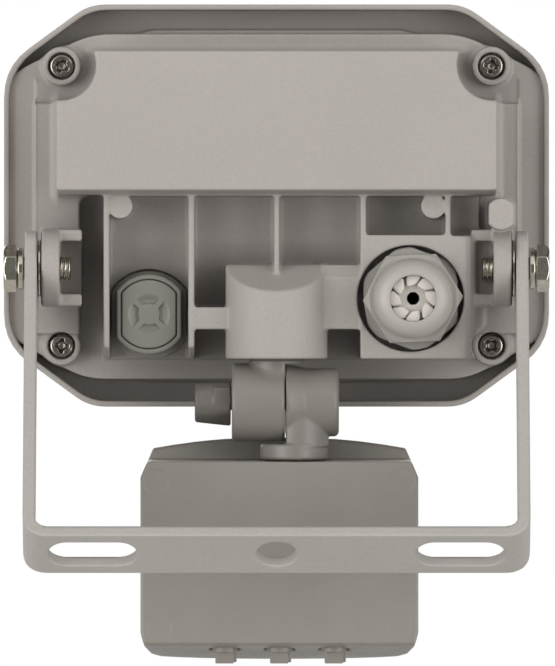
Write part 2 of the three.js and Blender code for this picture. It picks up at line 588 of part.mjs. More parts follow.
function makeTiltKnuckle() {
  const { narrow, split, right } = KNUCKLE;
  const { x, archX, arch, flange, flangeTop, flangeLow, stem, stemLow, wireWay } = HEAD_NECK;
  const barrel = hingeRod(narrow, right, split - 0.15, 28);
  const neck = rod('z', arch, flangeTop - 0.4, HINGE_Z, [archX, PAN_Y], 20)
    .intersect(block(-16, split - 0.15, -20, 20, -60, 0));
  const plate = rod('z', flange, flangeLow, flangeTop, [x, PAN_Y], 24);
  const post = rod('z', stem, stemLow, flangeLow + 0.1, [x, PAN_Y], 12);
  const counterbore = hingeRod(HINGE_SCREW.counterbore, right - 1, right + 2.4, 14);
  return cut(join(barrel, neck, plate, post), counterbore, hingeRod(HINGE_SCREW.bore, right - 1, 0, 12),
    rod('z', wireWay, stemLow - 1, flangeTop - 0.2, [x, PAN_Y], 10));
}

function makeClampKnob() {
  const from = KNUCKLE.left + 0.25;
  const to = 19.9;
  const cone = rod('x', 5.55, from, to, [PAN_Y, HINGE_Z], 10, 4.7);
  const panel = block(from, from + 4.2, PAN_Y + 3, PAN_Y + 5.6, HINGE_Z - 2, HINGE_Z + 2);
  return cut(join(cone, panel), hingeRod(HINGE_SCREW.bore, from - 1, to - 2.3, 16),
    hingeRod(HINGE_SCREW.nut + 0.2, from - 1, from + 3.2, 6));
}

function addSensorArm() {
  put(housing, 'pan_knuckle', makePanKnuckle(), FINISH.arm);
  put(housing, 'pan_o_ring', ring('z', 6.5, 5.6, -15, -14.2, [0, PAN_Y], 24), FINISH.rubber);
  put(housing, 'tilt_knuckle', makeTiltKnuckle(), FINISH.arm);
  const { left, right } = KNUCKLE;
  const { head, shank, nut: nutRadius } = HINGE_SCREW;
  const screw = cut(join(hingeRod(head, right + 0.4, right + 2.2, 20), hingeRod(shank, right + 1, left + 5, 16)),
    hingeRod(1.3, right, right + 1.4, 6));
  put(housing, 'hinge_screw', screw, FINISH.steel);
  const nut = cut(hingeRod(nutRadius, left + 0.5, left + 3.1, 6), hingeRod(shank + 0.2, left, left + 4, 16));
  put(housing, 'clamp_nut', nut, FINISH.steel);
  put(housing, 'clamp_knob', makeClampKnob(), FINISH.arm);
}

// ---------------------------------------------------------------- sensor head

// The head's outline seen from the front, moved in by `inset`.
function headOutline(inset) {
  const x = HEAD.x;
  const w = HEAD.halfW - inset;
  const top = HEAD_TOP.front - inset;
  const low = HEAD_LOW.front + inset;
  const shape = new THREE.Shape();
  shape.moveTo(x - w + 3, top - 2.8);
  shape.quadraticCurveTo(x, top + 2.8, x + w - 3, top - 2.8);
  shape.lineTo(x + w, top - 9.8);
  shape.lineTo(x + w, low + 7);
  shape.quadraticCurveTo(x + w - 1, low + 1, x + w - 5, low + 0.9);
  shape.quadraticCurveTo(x, low - 0.9, x - w + 5, low + 0.9);
  shape.quadraticCurveTo(x - w + 1, low + 1, x - w, low + 7);
  shape.lineTo(x - w, top - 9.8);
  shape.closePath();
  return shape;
}

// The head seen from its side: the top and bottom spread towards the front.
function headProfile(inset, back) {
  const front = HEAD.front + inset;
  return polygon([[back, HEAD_TOP.back - inset], [front + 1.5, HEAD_TOP.front - inset],
    [front, HEAD_TOP.front - inset - 2.5], [front, HEAD_LOW.front + inset + 2],
    [front + 1.5, HEAD_LOW.front + inset], [back, HEAD_LOW.back + inset]]);
}

function headBlank(inset, back) {
  return side(headProfile(inset, back), HEAD.x - 40, HEAD.x + 40)
    .intersect(slab(headOutline(inset), HEAD.front - 5, back + 5, 6));
}

const LENS = { z0: -86.5, z1: -64, radius: 24, middleY: PAN_Y - 2.5, wall: 1.6, halfX: 19.6 };
const EYE = { z: -53.8, halfX: 13, halfZ: 5.6 };

function makeHeadShell() {
  const lensHole = rod('z', LENS.radius + GAP, LENS.z0 - GAP, LENS.z1 + GAP, [HEAD.x, LENS.middleY], 48)
    .intersect(block(HEAD.x - 30, HEAD.x + 30, HEAD.front - 5, HEAD.front + 5, -99, -50));
  const eyeShape = (grow) => roundRect(HEAD.x - EYE.halfX - grow, HEAD.x + EYE.halfX + grow,
    EYE.z - EYE.halfZ - grow, EYE.z + EYE.halfZ + grow, 4);
  const eyeHole = join(slab(eyeShape(-1.2), HEAD.front - 2, HEAD.front + 5),
    slab(eyeShape(GAP), HEAD.front - 2, HEAD.front + 1.2));
  const onNeck = [HEAD_NECK.x, PAN_Y];
  const neckHole = rod('z', HEAD_NECK.stem + 0.6, -60, -40, onNeck, 14);
  const neckFlat = rod('z', HEAD_NECK.flange + 0.7, HEAD_NECK.flangeLow - 0.4, -38, onNeck, 20);
  const neckSeat = rod('z', HEAD_NECK.flange + 1.3, -50, HEAD_NECK.flangeLow - GAP, onNeck, 20);
  const knobHoles = KNOB_X.map((x) => rod('z', KNOB_R + 0.4, -99, -90, [x, KNOB_Y], 16));
  const blank = headBlank(0, HEAD.coverIn - GAP);
  const hollow = headBlank(HEAD.wall, HEAD.coverIn + 2);
  const shell = join(cut(blank, hollow), neckSeat.intersect(blank));
  return cut(shell, lensHole, eyeHole, neckHole, neckFlat, ...knobHoles);
}

function makeHeadCover() {
  const between = (y0, y1) => block(-50, 50, y0, y1, -100, -40);
  const plate = headBlank(0, HEAD.back).intersect(between(HEAD.coverIn, HEAD.back));
  const lip = headBlank(HEAD.wall + GAP, HEAD.back).intersect(between(HEAD.coverIn - 2.6, HEAD.coverIn + 1));
  const lipHollow = headBlank(HEAD.wall + 1.8, HEAD.back).intersect(between(0, HEAD.coverIn));
  const onNeck = [HEAD_NECK.x, PAN_Y];
  const seatRoom = rod('z', HEAD_NECK.flange + 1.7, -54, -38, onNeck, 20)
    .intersect(block(-20, 20, 0, HEAD.coverIn, -60, -30));
  const flangeRoom = rod('z', HEAD_NECK.flange + 0.4, HEAD_NECK.flangeLow - 0.35, -38, onNeck, 20);
  return cut(join(plate, cut(lip, lipHollow)), seatRoom, flangeRoom);
}

function addSensorHead() {
  put(housing, 'head_shell', makeHeadShell(), FINISH.head);
  put(housing, 'head_back_cover', makeHeadCover(), FINISH.head);
  const onNeck = [HEAD_NECK.x, PAN_Y];
  const nut = cut(rod('z', 6.2, -56, -53.2, onNeck, 6), rod('z', 2.8, -57, -50, onNeck, 16));
  put(housing, 'neck_nut', nut, FINISH.steel);

  const drum = ring('z', LENS.radius, LENS.radius - LENS.wall, LENS.z0, LENS.z1, [HEAD.x, LENS.middleY], 48);
  const lens = drum.intersect(block(HEAD.x - LENS.halfX, HEAD.x + LENS.halfX, -40, LENS.middleY - 12, -99, -50));
  put(housing, 'detector_lens', lens, FINISH.lens);

  const board = { front: PAN_Y - 9, back: PAN_Y - 7.4, z0: -88, z1: -58 };
  put(housing, 'head_board', block(HEAD.x - 26, HEAD.x + 26, board.front, board.back, board.z0, board.z1),
    FINISH.board);
  const canZ = (LENS.z0 + LENS.z1) / 2;
  const can = join(rod('y', 4.6, board.front - 4.4, board.front - 0.15, [HEAD.x, canZ], 24),
    rod('y', 5.2, board.front - 0.9, board.front - 0.15, [HEAD.x, canZ], 24));
  put(housing, 'detector_sensor', can, FINISH.steel);

  const window = slab(roundRect(HEAD.x - EYE.halfX, HEAD.x + EYE.halfX, EYE.z - EYE.halfZ,
    EYE.z + EYE.halfZ, 4), HEAD.front - 0.4, HEAD.front + 0.9);
  put(housing, 'camera_window', window, FINISH.dark);
  const eye = [HEAD.x + 4, EYE.z - 0.5];
  put(housing, 'camera_lens', join(rod('y', 3.4, PAN_Y - 16.8, PAN_Y - 11, eye, 20),
    rod('y', 2.4, PAN_Y - 17.8, PAN_Y - 16.7, eye, 16)),
    FINISH.dark);
  const cameraBoard = block(HEAD.x - 12, HEAD.x + 12, PAN_Y - 10.8, PAN_Y - 9.4, -57.6, -50.4);
  put(housing, 'camera_board', cameraBoard, FINISH.board);

  for (const [i, name] of ['light', 'time', 'range'].entries()) {
    const x = KNOB_X[i];
    const pot = cut(block(x - 4.5, x + 4.5, board.back + 0.2, KNOB_Y + 3.9, -86.8, -82),
      rod('z', 1.9, -88, -83, [x, KNOB_Y], 12));
    put(housing, `${name}_setting_pot`, pot, FINISH.can);
    const slot = block(x - 2.4, x + 2.4, KNOB_Y - 0.5, KNOB_Y + 0.5, -97, -95.3);
    const dial = rod('z', KNOB_R, -96.2, -90.5, [x, KNOB_Y], 16);
    const knob = cut(join(dial, rod('z', 1.5, -91, -84, [x, KNOB_Y], 12)), slot);
    put(housing, `${name}_setting_knob`, knob, FINISH.grey);
  }
}

// ---------------------------------------------------------------- assembly

put(bracketGroup, 'bracket', makeBracket(), FINISH.strap);
addPivots();
addLightEngine();
put(housing, 'rear_casting', makeRearCasting(), FINISH.casting);
addDriver();
addCornerScrews();
addCableGland();
addVentPlug();
addSensorArm();
addSensorHead();

bracketGroup.rotation.x = LEAN;
housing.position.set(0, -BASE_TO_PIVOT * Math.sin(LEAN), BASE_TO_PIVOT * Math.cos(LEAN));
object.add(bracketGroup, housing);

export default object;
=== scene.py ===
# The looks of a small LED floodlight with a detector and camera head under it.
# Sizes are in millimetres. Housing pieces are made in housing coordinates: from the pivot axis,
# +Z up, the back of the lamp towards +Y. The bracket is made flat, with its base face at z = 0.
# A solid is made by carving: distances to its surface are worked out on a grid of points, so that
# every edge and corner can have a true radius, and the surface is then drawn through the zero.

import json
import math
from collections import namedtuple
from functools import partial

import bpy
import numpy as np
import openvdb
from mathutils import Matrix, Vector


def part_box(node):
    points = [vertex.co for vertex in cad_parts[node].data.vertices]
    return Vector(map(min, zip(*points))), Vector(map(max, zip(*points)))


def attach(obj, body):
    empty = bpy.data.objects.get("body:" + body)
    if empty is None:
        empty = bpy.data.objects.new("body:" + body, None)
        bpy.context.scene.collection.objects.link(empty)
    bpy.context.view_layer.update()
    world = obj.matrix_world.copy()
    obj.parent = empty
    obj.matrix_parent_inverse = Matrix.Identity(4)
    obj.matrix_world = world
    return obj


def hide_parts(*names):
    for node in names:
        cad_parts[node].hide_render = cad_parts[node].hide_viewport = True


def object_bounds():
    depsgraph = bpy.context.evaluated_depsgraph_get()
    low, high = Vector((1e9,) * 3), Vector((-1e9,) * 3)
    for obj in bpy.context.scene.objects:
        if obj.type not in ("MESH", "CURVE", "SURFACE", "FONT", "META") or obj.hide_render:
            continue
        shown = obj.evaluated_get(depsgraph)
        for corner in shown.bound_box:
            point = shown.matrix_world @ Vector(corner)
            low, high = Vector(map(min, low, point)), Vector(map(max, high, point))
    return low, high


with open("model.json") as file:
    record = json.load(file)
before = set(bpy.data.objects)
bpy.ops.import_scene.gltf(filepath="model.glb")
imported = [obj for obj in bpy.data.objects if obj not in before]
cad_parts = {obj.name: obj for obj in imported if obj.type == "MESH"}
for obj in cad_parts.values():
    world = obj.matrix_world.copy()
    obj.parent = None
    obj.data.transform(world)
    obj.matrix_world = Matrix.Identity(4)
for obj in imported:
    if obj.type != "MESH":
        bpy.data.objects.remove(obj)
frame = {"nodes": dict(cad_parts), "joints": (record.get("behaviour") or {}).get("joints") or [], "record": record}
cad_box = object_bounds()

MM = 0.001
PIVOT = Vector(next(j for j in frame["joints"] if j["name"] == "housing_tilt")["pos_m"])
WALL_AXIS = next(m for m in frame["record"]["mounts"] if m["name"] == "wall_fixing")["axis"]
LEAN = math.atan2(WALL_AXIS[1], -WALL_AXIS[2])
HOUSING = Matrix.Translation(PIVOT) @ Matrix.Scale(MM, 4)
STRAP = Matrix.Rotation(LEAN, 4, "X") @ Matrix.Scale(MM, 4)


def box_of(node):
    """Lowest and highest corner of a CAD node in housing coordinates, in mm."""
    low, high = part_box(node)
    return (np.array(low) - PIVOT) / MM, (np.array(high) - PIVOT) / MM


def middle_of(node):
    low, high = box_of(node)
    return (low + high) / 2


def seen_middle(node):
    """The middle of a CAD node as seen from behind, (x, z)."""
    x, _, z = middle_of(node)
    return x, z


# ---- carving

FAR = 60.0
Shape = namedtuple("Shape", "at low high")


def union(a, b, fillet):
    """Both solids together, with a round fillet where they meet."""
    if fillet <= 0:
        return np.minimum(a, b)
    u = np.maximum(fillet - a, 0)
    v = np.maximum(fillet - b, 0)
    return np.maximum(fillet, np.minimum(a, b)) - np.sqrt(u * u + v * v)


def overlap(a, b, edge):
    """What two solids share, with a rounded edge where they cross."""
    return -union(-a, -b, edge)


class Carving:
    """A block of space that holds the distance to a solid's surface, below zero inside it."""

    def __init__(self, low, high, step, reach=3.0):
        self.step = step
        self.reach = reach
        pad = 4 * step
        self.axes = [
            np.arange(a - pad, b + pad, step, dtype=np.float32) for a, b in zip(low, high)
        ]
        self.field = np.full([len(a) for a in self.axes], FAR, np.float32)

    def near(self, shape):
        spans = tuple(
            slice(np.searchsorted(axis, low - self.reach), np.searchsorted(axis, high + self.reach))
            for axis, low, high in zip(self.axes, shape.low, shape.high)
        )
        axes = [axis[span] for axis, span in zip(self.axes, spans)]
        return spans, shape.at(*np.ix_(*axes))

    def add(self, shape, fillet=0.0):
        spans, distance = self.near(shape)
        self.field[spans] = union(self.field[spans], distance, fillet)

    def cut(self, shape, edge=0.0):
        spans, distance = self.near(shape)
        self.field[spans] = overlap(self.field[spans], -distance, edge)

    def keep(self, shape, edge=0.0):
        self.field = overlap(self.field, shape.at(*np.ix_(*self.axes)), edge)

    def sample(self, points):
        """The distance at points, given in grid steps, read between the grid's own values."""
        whole = np.floor(points).astype(int)
        part = points - whole
        total = 0
        for corner in np.ndindex(2, 2, 2):
            at = np.clip(whole + corner, 0, np.array(self.field.shape) - 1)
            share = np.prod(np.where(corner, part, 1 - part), axis=1)
            total = total + share * self.field[at[:, 0], at[:, 1], at[:, 2]]
        return total

    def surface(self, detail=0.01):
        """Points in mm, faces of four or three corners, and a normal for each point."""
        band = 3 * self.step
        grid = openvdb.FloatGrid(band)
        grid.copyFromArray(np.clip(self.field, -band, band).astype(np.float32))
        points, triangles, quads = grid.convertToPolygons(isovalue=0.0, adaptivity=detail)
        normals = np.empty_like(points)
        for axis in range(3):
            nudge = np.zeros(3)
            nudge[axis] = 0.5
            normals[:, axis] = self.sample(points + nudge) - self.sample(points - nudge)
        normals /= np.maximum(np.linalg.norm(normals, axis=1, keepdims=True), 1e-9)
        places = points * self.step + [axis[0] for axis in self.axes]
        return places, [*triangles.tolist(), *quads.tolist()], normals


def grid_step(full):
    return full


def block(node, step, reach=3.0):
    """The lowest and highest corner of a CAD node, and a carving of that size."""
    low, high = box_of(node)
    return low, high, Carving(low, high, step, reach)


def brick(x0, x1, y0, y1, z0, z1, edge=0.0):
    ends = np.array([(x0, x1), (y0, y1), (z0, z1)])
    low, high = ends.min(1), ends.max(1)
    middle = (low + high) / 2
    half = (high - low) / 2 - edge

    def at(x, y, z):
        q = [np.abs(p - m) - h for p, m, h in zip((x, y, z), middle, half)]
        outside = np.sqrt(sum(np.maximum(a, 0) ** 2 for a in q))
        return outside + np.minimum(np.maximum(np.maximum(q[0], q[1]), q[2]), 0) - edge

    return Shape(at, low, high)


def split(axis, x, y, z):
    """The coordinate along an axis, and the two across it."""
    return {"x": (x, y, z), "y": (y, x, z), "z": (z, x, y)}[axis]


def bounds_of(axis, start, end, across_low, across_high):
    """Lowest and highest corner of a shape drawn along an axis."""
    place = "xyz".index(axis)
    low = np.insert(np.array(across_low, float), place, start)
    high = np.insert(np.array(across_high, float), place, end)
    return low, high


def bounds_round(axis, start, end, centre, reach):
    """The same for a shape that reaches equally far on all sides of a centre line."""
    centre = np.array(centre)
    return bounds_of(axis, start, end, centre - reach, centre + reach)


def extent(along, start, end):
    return np.abs(along - (start + end) / 2) - (end - start) / 2


def rod(axis, radius, start, end, centre, edge=0.0, tip=None):
    """A cylinder along an axis, or a cone whose far end has the radius `tip`."""
    tip = radius if tip is None else tip
    slope = (tip - radius) / (end - start)
    lean = 1 / math.hypot(1, slope)

    def at(x, y, z):
        along, a, b = split(axis, x, y, z)
        reach = np.sqrt((a - centre[0]) ** 2 + (b - centre[1]) ** 2)
        side = (reach - radius - slope * (along - start)) * lean
        return overlap(side, extent(along, start, end), edge)

    return Shape(at, *bounds_round(axis, start, end, centre, max(radius, tip)))


def nut(axis, flats, start, end, centre, turn=0.0, edge=0.0, sides=6):
    """A prism with `sides` sides at the distance `flats` from its middle."""
    angles = [turn + 2 * math.pi * k / sides for k in range(sides)]

    def at(x, y, z):
        along, a, b = split(axis, x, y, z)
        side = None
        for angle in angles:
            here = (a - centre[0]) * math.cos(angle) + (b - centre[1]) * math.sin(angle) - flats
            side = here if side is None else overlap(side, here, edge)
        return overlap(side, extent(along, start, end), edge)

    return Shape(at, *bounds_round(axis, start, end, centre, flats / math.cos(math.pi / sides)))


def outline_distance(points, a, b):
    """Distance from (a, b) to a closed outline, below zero inside it."""
    nearest = np.float32(1e9)
    inside = np.zeros(np.broadcast_shapes(a.shape, b.shape), bool)
    for (ax, ay), (bx, by) in zip(points, [*points[1:], points[0]]):
        ex, ey = bx - ax, by - ay
        t = np.clip(((a - ax) * ex + (b - ay) * ey) / (ex * ex + ey * ey), 0, 1)
        nearest = np.minimum(nearest, (a - ax - ex * t) ** 2 + (b - ay - ey * t) ** 2)
        if ay != by:
            inside ^= ((ay > b) != (by > b)) & (a < ax + ex * (b - ay) / ey)
    return np.where(inside, -1, 1) * np.sqrt(nearest)


def prism(axis, points, start, end, edge=0.0):
    """An outline drawn out along an axis. Along y it is (x, z), along x (y, z), along z (x, y)."""
    points = [tuple(p) for p in points]

    def at(x, y, z):
        along, a, b = split(axis, x, y, z)
        return overlap(outline_distance(points, a, b), extent(along, start, end), edge)

    flat = np.array(points)
    return Shape(at, *bounds_of(axis, start, end, flat.min(0), flat.max(0)))


def combined(first, others, edge, sign):
    def at(x, y, z):
        left = first.at(x, y, z)
        for other in others:
            left = overlap(left, sign * other.at(x, y, z), edge)
        return left

    return Shape(at, first.low, first.high)


def less(first, *others, edge=0.0):
    """A shape with other shapes taken out of it."""
    return combined(first, others, edge, -1)


def both(first, *others, edge=0.0):
    """What several shapes share."""
    return combined(first, others, edge, 1)


def union_shape(a, b):
    return Shape(
        lambda x, y, z: np.minimum(a.at(x, y, z), b.at(x, y, z)),
        np.minimum(a.low, b.low),
        np.maximum(a.high, b.high),
    )


def rounded(points, reach, steps=5):
    """An outline whose corners are rounded, starting `reach` before each corner."""
    made = []
    reaches = reach if isinstance(reach, (list, tuple)) else [reach] * len(points)
    for i, (corner, length) in enumerate(zip(points, reaches)):
        corner = Vector(corner)
        last = Vector(points[i - 1]) - corner
        following = Vector(points[(i + 1) % len(points)]) - corner
        enter = corner + last.normalized() * length
        leave = corner + following.normalized() * length
        for k in range(steps + 1):
            t = k / steps
            made.append(tuple(enter * (1 - t) ** 2 + corner * (2 * t * (1 - t)) + leave * t * t))
    return made


def rectangle(x0, x1, z0, z1, reach):
    return rounded([(x0, z0), (x1, z0), (x1, z1), (x0, z1)], reach)


def mirrored(half):
    return [*half, *((-x, z) for x, z in reversed(half))]


def flatted(centre, radius, flat, steps=16):
    """A circle with two flats that face +X and -X."""
    start = math.acos(flat / radius)
    angles = np.linspace(start, math.pi - start, steps)
    angles = [*angles, *(angles + math.pi)]
    return [(centre[0] + radius * math.cos(a), centre[1] + radius * math.sin(a)) for a in angles]


# ---- pieces


def make_piece(name, carving, material, body, nodes, place=HOUSING):
    """A mesh through the carving's surface, riding on a body in the place of CAD nodes."""
    points, faces, normals = carving.surface()
    mesh = bpy.data.meshes.new(name)
    mesh.from_pydata(points.tolist(), [], faces)
    mesh.polygons.foreach_set("use_smooth", [True] * len(mesh.polygons))
    mesh.normals_split_custom_set_from_vertices(normals.tolist())
    mesh.transform(place)
    mesh.update()
    piece = bpy.data.objects.new(name, mesh)
    bpy.context.scene.collection.objects.link(piece)
    mesh.materials.append(material)
    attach(piece, body)
    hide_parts(*nodes)


def make_skin(node, carving, material, body, place=HOUSING):
    """A piece for one CAD node, named after it."""
    make_piece(f"{node}_skin", carving, material, body, [node], place)


# ---- materials


def colour(red, green, blue):
    """A colour given as it looks on a screen, from 0 to 255, in linear light."""
    return tuple(((c / 255 + 0.055) / 1.055) ** 2.4 for c in (red, green, blue)) + (1.0,)


def add_node(tree, kind, inputs=(), **settings):
    """A node with its settings made, and its inputs linked or given a value."""
    made = tree.nodes.new(kind)
    for key, value in settings.items():
        setattr(made, key, value)
    for key, value in dict(inputs).items():
        if isinstance(value, bpy.types.NodeSocket):
            tree.links.new(value, made.inputs[key])
        else:
            made.inputs[key].default_value = value
    return made


class Paint:
    """A material whose nodes are added one after another."""

    def __init__(self, name, base, roughness, **sockets):
        self.material = bpy.data.materials.new(name)
        self.material.use_nodes = True
        self.tree = self.material.node_tree
        self.shader = self.tree.nodes["Principled BSDF"]
        self.set("Base Color", base)
        self.set("Roughness", roughness)
        for socket, value in sockets.items():
            self.set(socket.replace("_", " "), value)
        self.place = self.node("ShaderNodeTexCoord").outputs["Object"]

    def set(self, socket, value):
        self.shader.inputs[socket].default_value = value

    def node(self, kind, inputs=(), **settings):
        return add_node(self.tree, kind, inputs, **settings)

    def link(self, output, socket):
        self.tree.links.new(output, self.shader.inputs[socket])

    def noise(self, size_mm, detail=2.0, roughness=0.5):
        inputs = {"Vector": self.place, "Scale": 1 / (size_mm * MM)}
        inputs |= {"Detail": detail, "Roughness": roughness}
        return self.node("ShaderNodeTexNoise", inputs).outputs["Fac"]

    def cells(self, size_mm):
        inputs = {"Vector": self.place, "Scale": 1 / (size_mm * MM)}
        return self.node("ShaderNodeTexVoronoi", inputs).outputs["Distance"]

    def spread(self, value, low, high, start=0.3, end=0.7):
        """A texture value stretched from start..end to low..high."""
        inputs = {"Value": value, "From Min": start, "From Max": end, "To Min": low, "To Max": high}
        return self.node("ShaderNodeMapRange", inputs).outputs["Result"]

    def shade(self, base, *factors):
        """The base colour made lighter and darker by the product of the factors."""
        product = factors[0]
        for factor in factors[1:]:
            inputs = {0: product, 1: factor}
            product = self.node("ShaderNodeMath", inputs, operation="MULTIPLY").outputs["Value"]
        inputs = {0: base[:3], "Scale": product}
        scaled = self.node("ShaderNodeVectorMath", inputs, operation="SCALE").outputs["Vector"]
        self.link(scaled, "Base Color")

    def bump(self, *layers):
        """Layers of (height, depth in mm, strength), each laid over the one before."""
        normal = None
        for height, depth, strength in layers:
            inputs = {"Height": height, "Distance": depth * MM, "Strength": strength}
            if normal is not None:
                inputs["Normal"] = normal
            normal = self.node("ShaderNodeBump", inputs).outputs["Normal"]
        self.link(normal, "Normal")


def powder_coat(name, base):
    """Fine-textured polyester powder on metal: pebbled, with darker and lighter grains."""
    paint = Paint(name, base, 0.55)
    paint.set("Specular IOR Level", 0.35)
    grain = paint.noise(0.34, 3.0, 0.65)
    fleck = paint.noise(0.9, 1.0)
    cloud = paint.noise(26.0)
    factors = (grain, 0.93, 1.07), (fleck, 0.975, 1.025), (cloud, 0.98, 1.02)
    paint.shade(base, *(paint.spread(*factor) for factor in factors))
    paint.link(paint.spread(grain, 0.47, 0.66), "Roughness")
    paint.bump((paint.noise(0.55, 2.0, 0.6), 0.05, 0.55), (paint.cells(0.8), 0.03, 0.3))
    return paint.material


def moulded(name, base, roughness, grain_mm=0.35):
    """Injection-moulded plastic: an even satin with a faint spark-eroded grain and flow marks."""
    paint = Paint(name, base, roughness)
    paint.set("Specular IOR Level", 0.45)
    grain = paint.noise(grain_mm)
    flow = paint.noise(18.0, 3.0, 0.6)
    paint.shade(base, paint.spread(grain, 0.975, 1.025), paint.spread(flow, 0.965, 1.035))
    paint.link(paint.spread(paint.noise(2.5, 3.0), roughness - 0.05, roughness + 0.06), "Roughness")
    paint.bump((grain, 0.012, 0.35), (flow, 0.15, 0.12))
    return paint.material


def bright_metal(name, base, roughness):
    """Zinc- or nickel-plated steel with fine drawn scratches and a slightly cloudy plate."""
    paint = Paint(name, base, roughness, Metallic=1.0)
    inputs = {"Vector": paint.place, "Scale": (1.0, 1.0, 9.0)}
    stretched = paint.node("ShaderNodeMapping", inputs).outputs["Vector"]
    inputs = {"Vector": stretched, "Scale": 900.0, "Detail": 4.0}
    scratch = paint.node("ShaderNodeTexNoise", inputs).outputs["Fac"]
    cloud = paint.noise(1.6, 3.0)
    paint.shade(base, paint.spread(cloud, 0.86, 1.08))
    paint.link(paint.spread(scratch, roughness - 0.05, roughness + 0.1), "Roughness")
    paint.bump((scratch, 0.01, 0.5), (cloud, 0.02, 0.3))
    return paint.material


def soft_rubber(name, base):
    paint = Paint(name, base, 0.8)
    grain = paint.noise(0.3, 3.0)
    bloom = paint.noise(3.0)
    paint.shade(base, paint.spread(grain, 0.9, 1.1), paint.spread(bloom, 0.92, 1.08))
    paint.link(paint.spread(bloom, 0.7, 0.9), "Roughness")
    paint.bump((grain, 0.03, 0.4))
    return paint.material


def clear_glass(name):
    paint = Paint(name, (0.93, 0.97, 0.96, 1), 0.02, IOR=1.5, Transmission_Weight=1.0)
    smear = paint.noise(14.0, 3.0)
    paint.link(paint.spread(smear, 0.01, 0.05), "Roughness")
    return paint.material


def tinted_window(name):
    paint = Paint(name, colour(22, 22, 25), 0.06, Coat_Weight=0.6, Coat_Roughness=0.03)
    dust = paint.noise(0.25)
    paint.shade(colour(22, 22, 25), paint.spread(dust, 0.8, 1.5, 0.55, 0.8))
    paint.link(paint.spread(paint.noise(9.0), 0.05, 0.12), "Roughness")
    return paint.material


def milky_lens(name):
    """Thin ribbed polyethylene: white, slightly see-through, with a soft sheen."""
    base = colour(236, 234, 228)
    paint = Paint(name, base, 0.38, Subsurface_Weight=0.25, Subsurface_Scale=0.002)
    grain = paint.noise(0.5)
    paint.shade(base, paint.spread(grain, 0.97, 1.03), paint.spread(paint.noise(8.0), 0.97, 1.02))
    paint.link(paint.spread(grain, 0.32, 0.45), "Roughness")
    paint.bump((grain, 0.02, 0.3))
    return paint.material


def mirror_coat(name):
    """Vacuum-metallised reflector, very slightly orange-peeled."""
    paint = Paint(name, (0.86, 0.86, 0.87, 1), 0.12, Metallic=1.0)
    paint.link(paint.spread(paint.noise(2.0), 0.08, 0.2), "Roughness")
    paint.bump((paint.noise(1.4, 1.0), 0.03, 0.35))
    return paint.material


def circuit_board(name, base, copper):
    """Solder mask over copper tracks, with small pads."""
    paint = Paint(name, base, 0.35)
    tracks = paint.spread(paint.noise(2.2, 0.0), 0.0, 1.0, 0.49, 0.52)
    inputs = {"Factor": tracks, "A": base, "B": copper}
    mix = paint.node("ShaderNodeMix", inputs, data_type="RGBA").outputs["Result"]
    paint.link(mix, "Base Color")
    paint.link(paint.spread(tracks, 0.32, 0.45, 0, 1), "Roughness")
    paint.bump((tracks, 0.035, 0.6))
    return paint.material


def phosphor(name):
    """Yellow silicone over the chips, which show as faint squares."""
    base = colour(232, 190, 62)
    paint = Paint(name, base, 0.35, Subsurface_Weight=0.3, Subsurface_Scale=0.0015)
    chip, gap = 2.2 * MM, 0.4 * MM
    upright = {"Vector": paint.place, "Rotation": (math.pi / 2, 0, 0)}
    inputs = {"Vector": paint.node("ShaderNodeMapping", upright).outputs["Vector"], "Scale": 1.0}
    inputs |= {"Mortar Size": gap, "Brick Width": chip, "Row Height": chip}
    chips = paint.node("ShaderNodeTexBrick", inputs, offset=0.0).outputs["Fac"]
    facets = paint.spread(chips, 0.86, 1.06, 0, 1)
    paint.shade(base, facets, paint.spread(paint.noise(0.6), 0.94, 1.06))
    paint.link(paint.spread(paint.noise(3.0), 0.3, 0.42), "Roughness")
    paint.bump((chips, 0.05, 0.5))
    return paint.material


COAT = powder_coat("casting_coat", colour(148, 143, 139))
STRAP_COAT = powder_coat("strap_coat", colour(160, 156, 152))
HEAD_PLASTIC = moulded("head_plastic", colour(128, 124, 118), 0.42)
ARM_PLASTIC = moulded("arm_plastic", colour(117, 113, 108), 0.4)
# The clamp knob uses the arm plastic made darker: painted shade for the knob, which sits sheltered beside the
# hinge barrel.
KNOB_SHADED_PLASTIC = moulded("knob_plastic_painted_shade", colour(94, 90, 86), 0.42)
GREY_PLASTIC = moulded("grey_plastic", colour(151, 147, 142), 0.36, 0.25)
VENT_PLASTIC = moulded("vent_plastic", colour(121, 119, 113), 0.4, 0.25)
PLATED = bright_metal("plated_steel", (0.56, 0.53, 0.46, 1), 0.13)
SCREW_STEEL = bright_metal("screw_steel", (0.27, 0.25, 0.225, 1), 0.24)
PETAL_RUBBER = moulded("seal_rubber", colour(182, 177, 172), 0.5, 0.3)
BLACK_RUBBER = soft_rubber("black_rubber", colour(38, 37, 36))
GLASS = clear_glass("front_glass_clear")
WINDOW = tinted_window("camera_window_tint")
LENS = milky_lens("detector_lens_milk")
MIRROR = mirror_coat("reflector_mirror")
GREEN_BOARD = circuit_board("green_board", colour(24, 92, 52), colour(46, 128, 66))
WHITE_BOARD = circuit_board("white_board", colour(226, 226, 220), colour(219, 219, 212))
PHOSPHOR = phosphor("led_phosphor")
NYLON = moulded("white_nylon", colour(226, 224, 216), 0.45)
PAD = soft_rubber("thermal_pad_grey", colour(120, 140, 150))
FERRITE = moulded("ferrite_dark", colour(52, 48, 45), 0.6)
SLEEVE = moulded("blue_sleeve", colour(34, 46, 82), 0.35)
BARREL = moulded("camera_barrel", colour(24, 24, 26), 0.3)

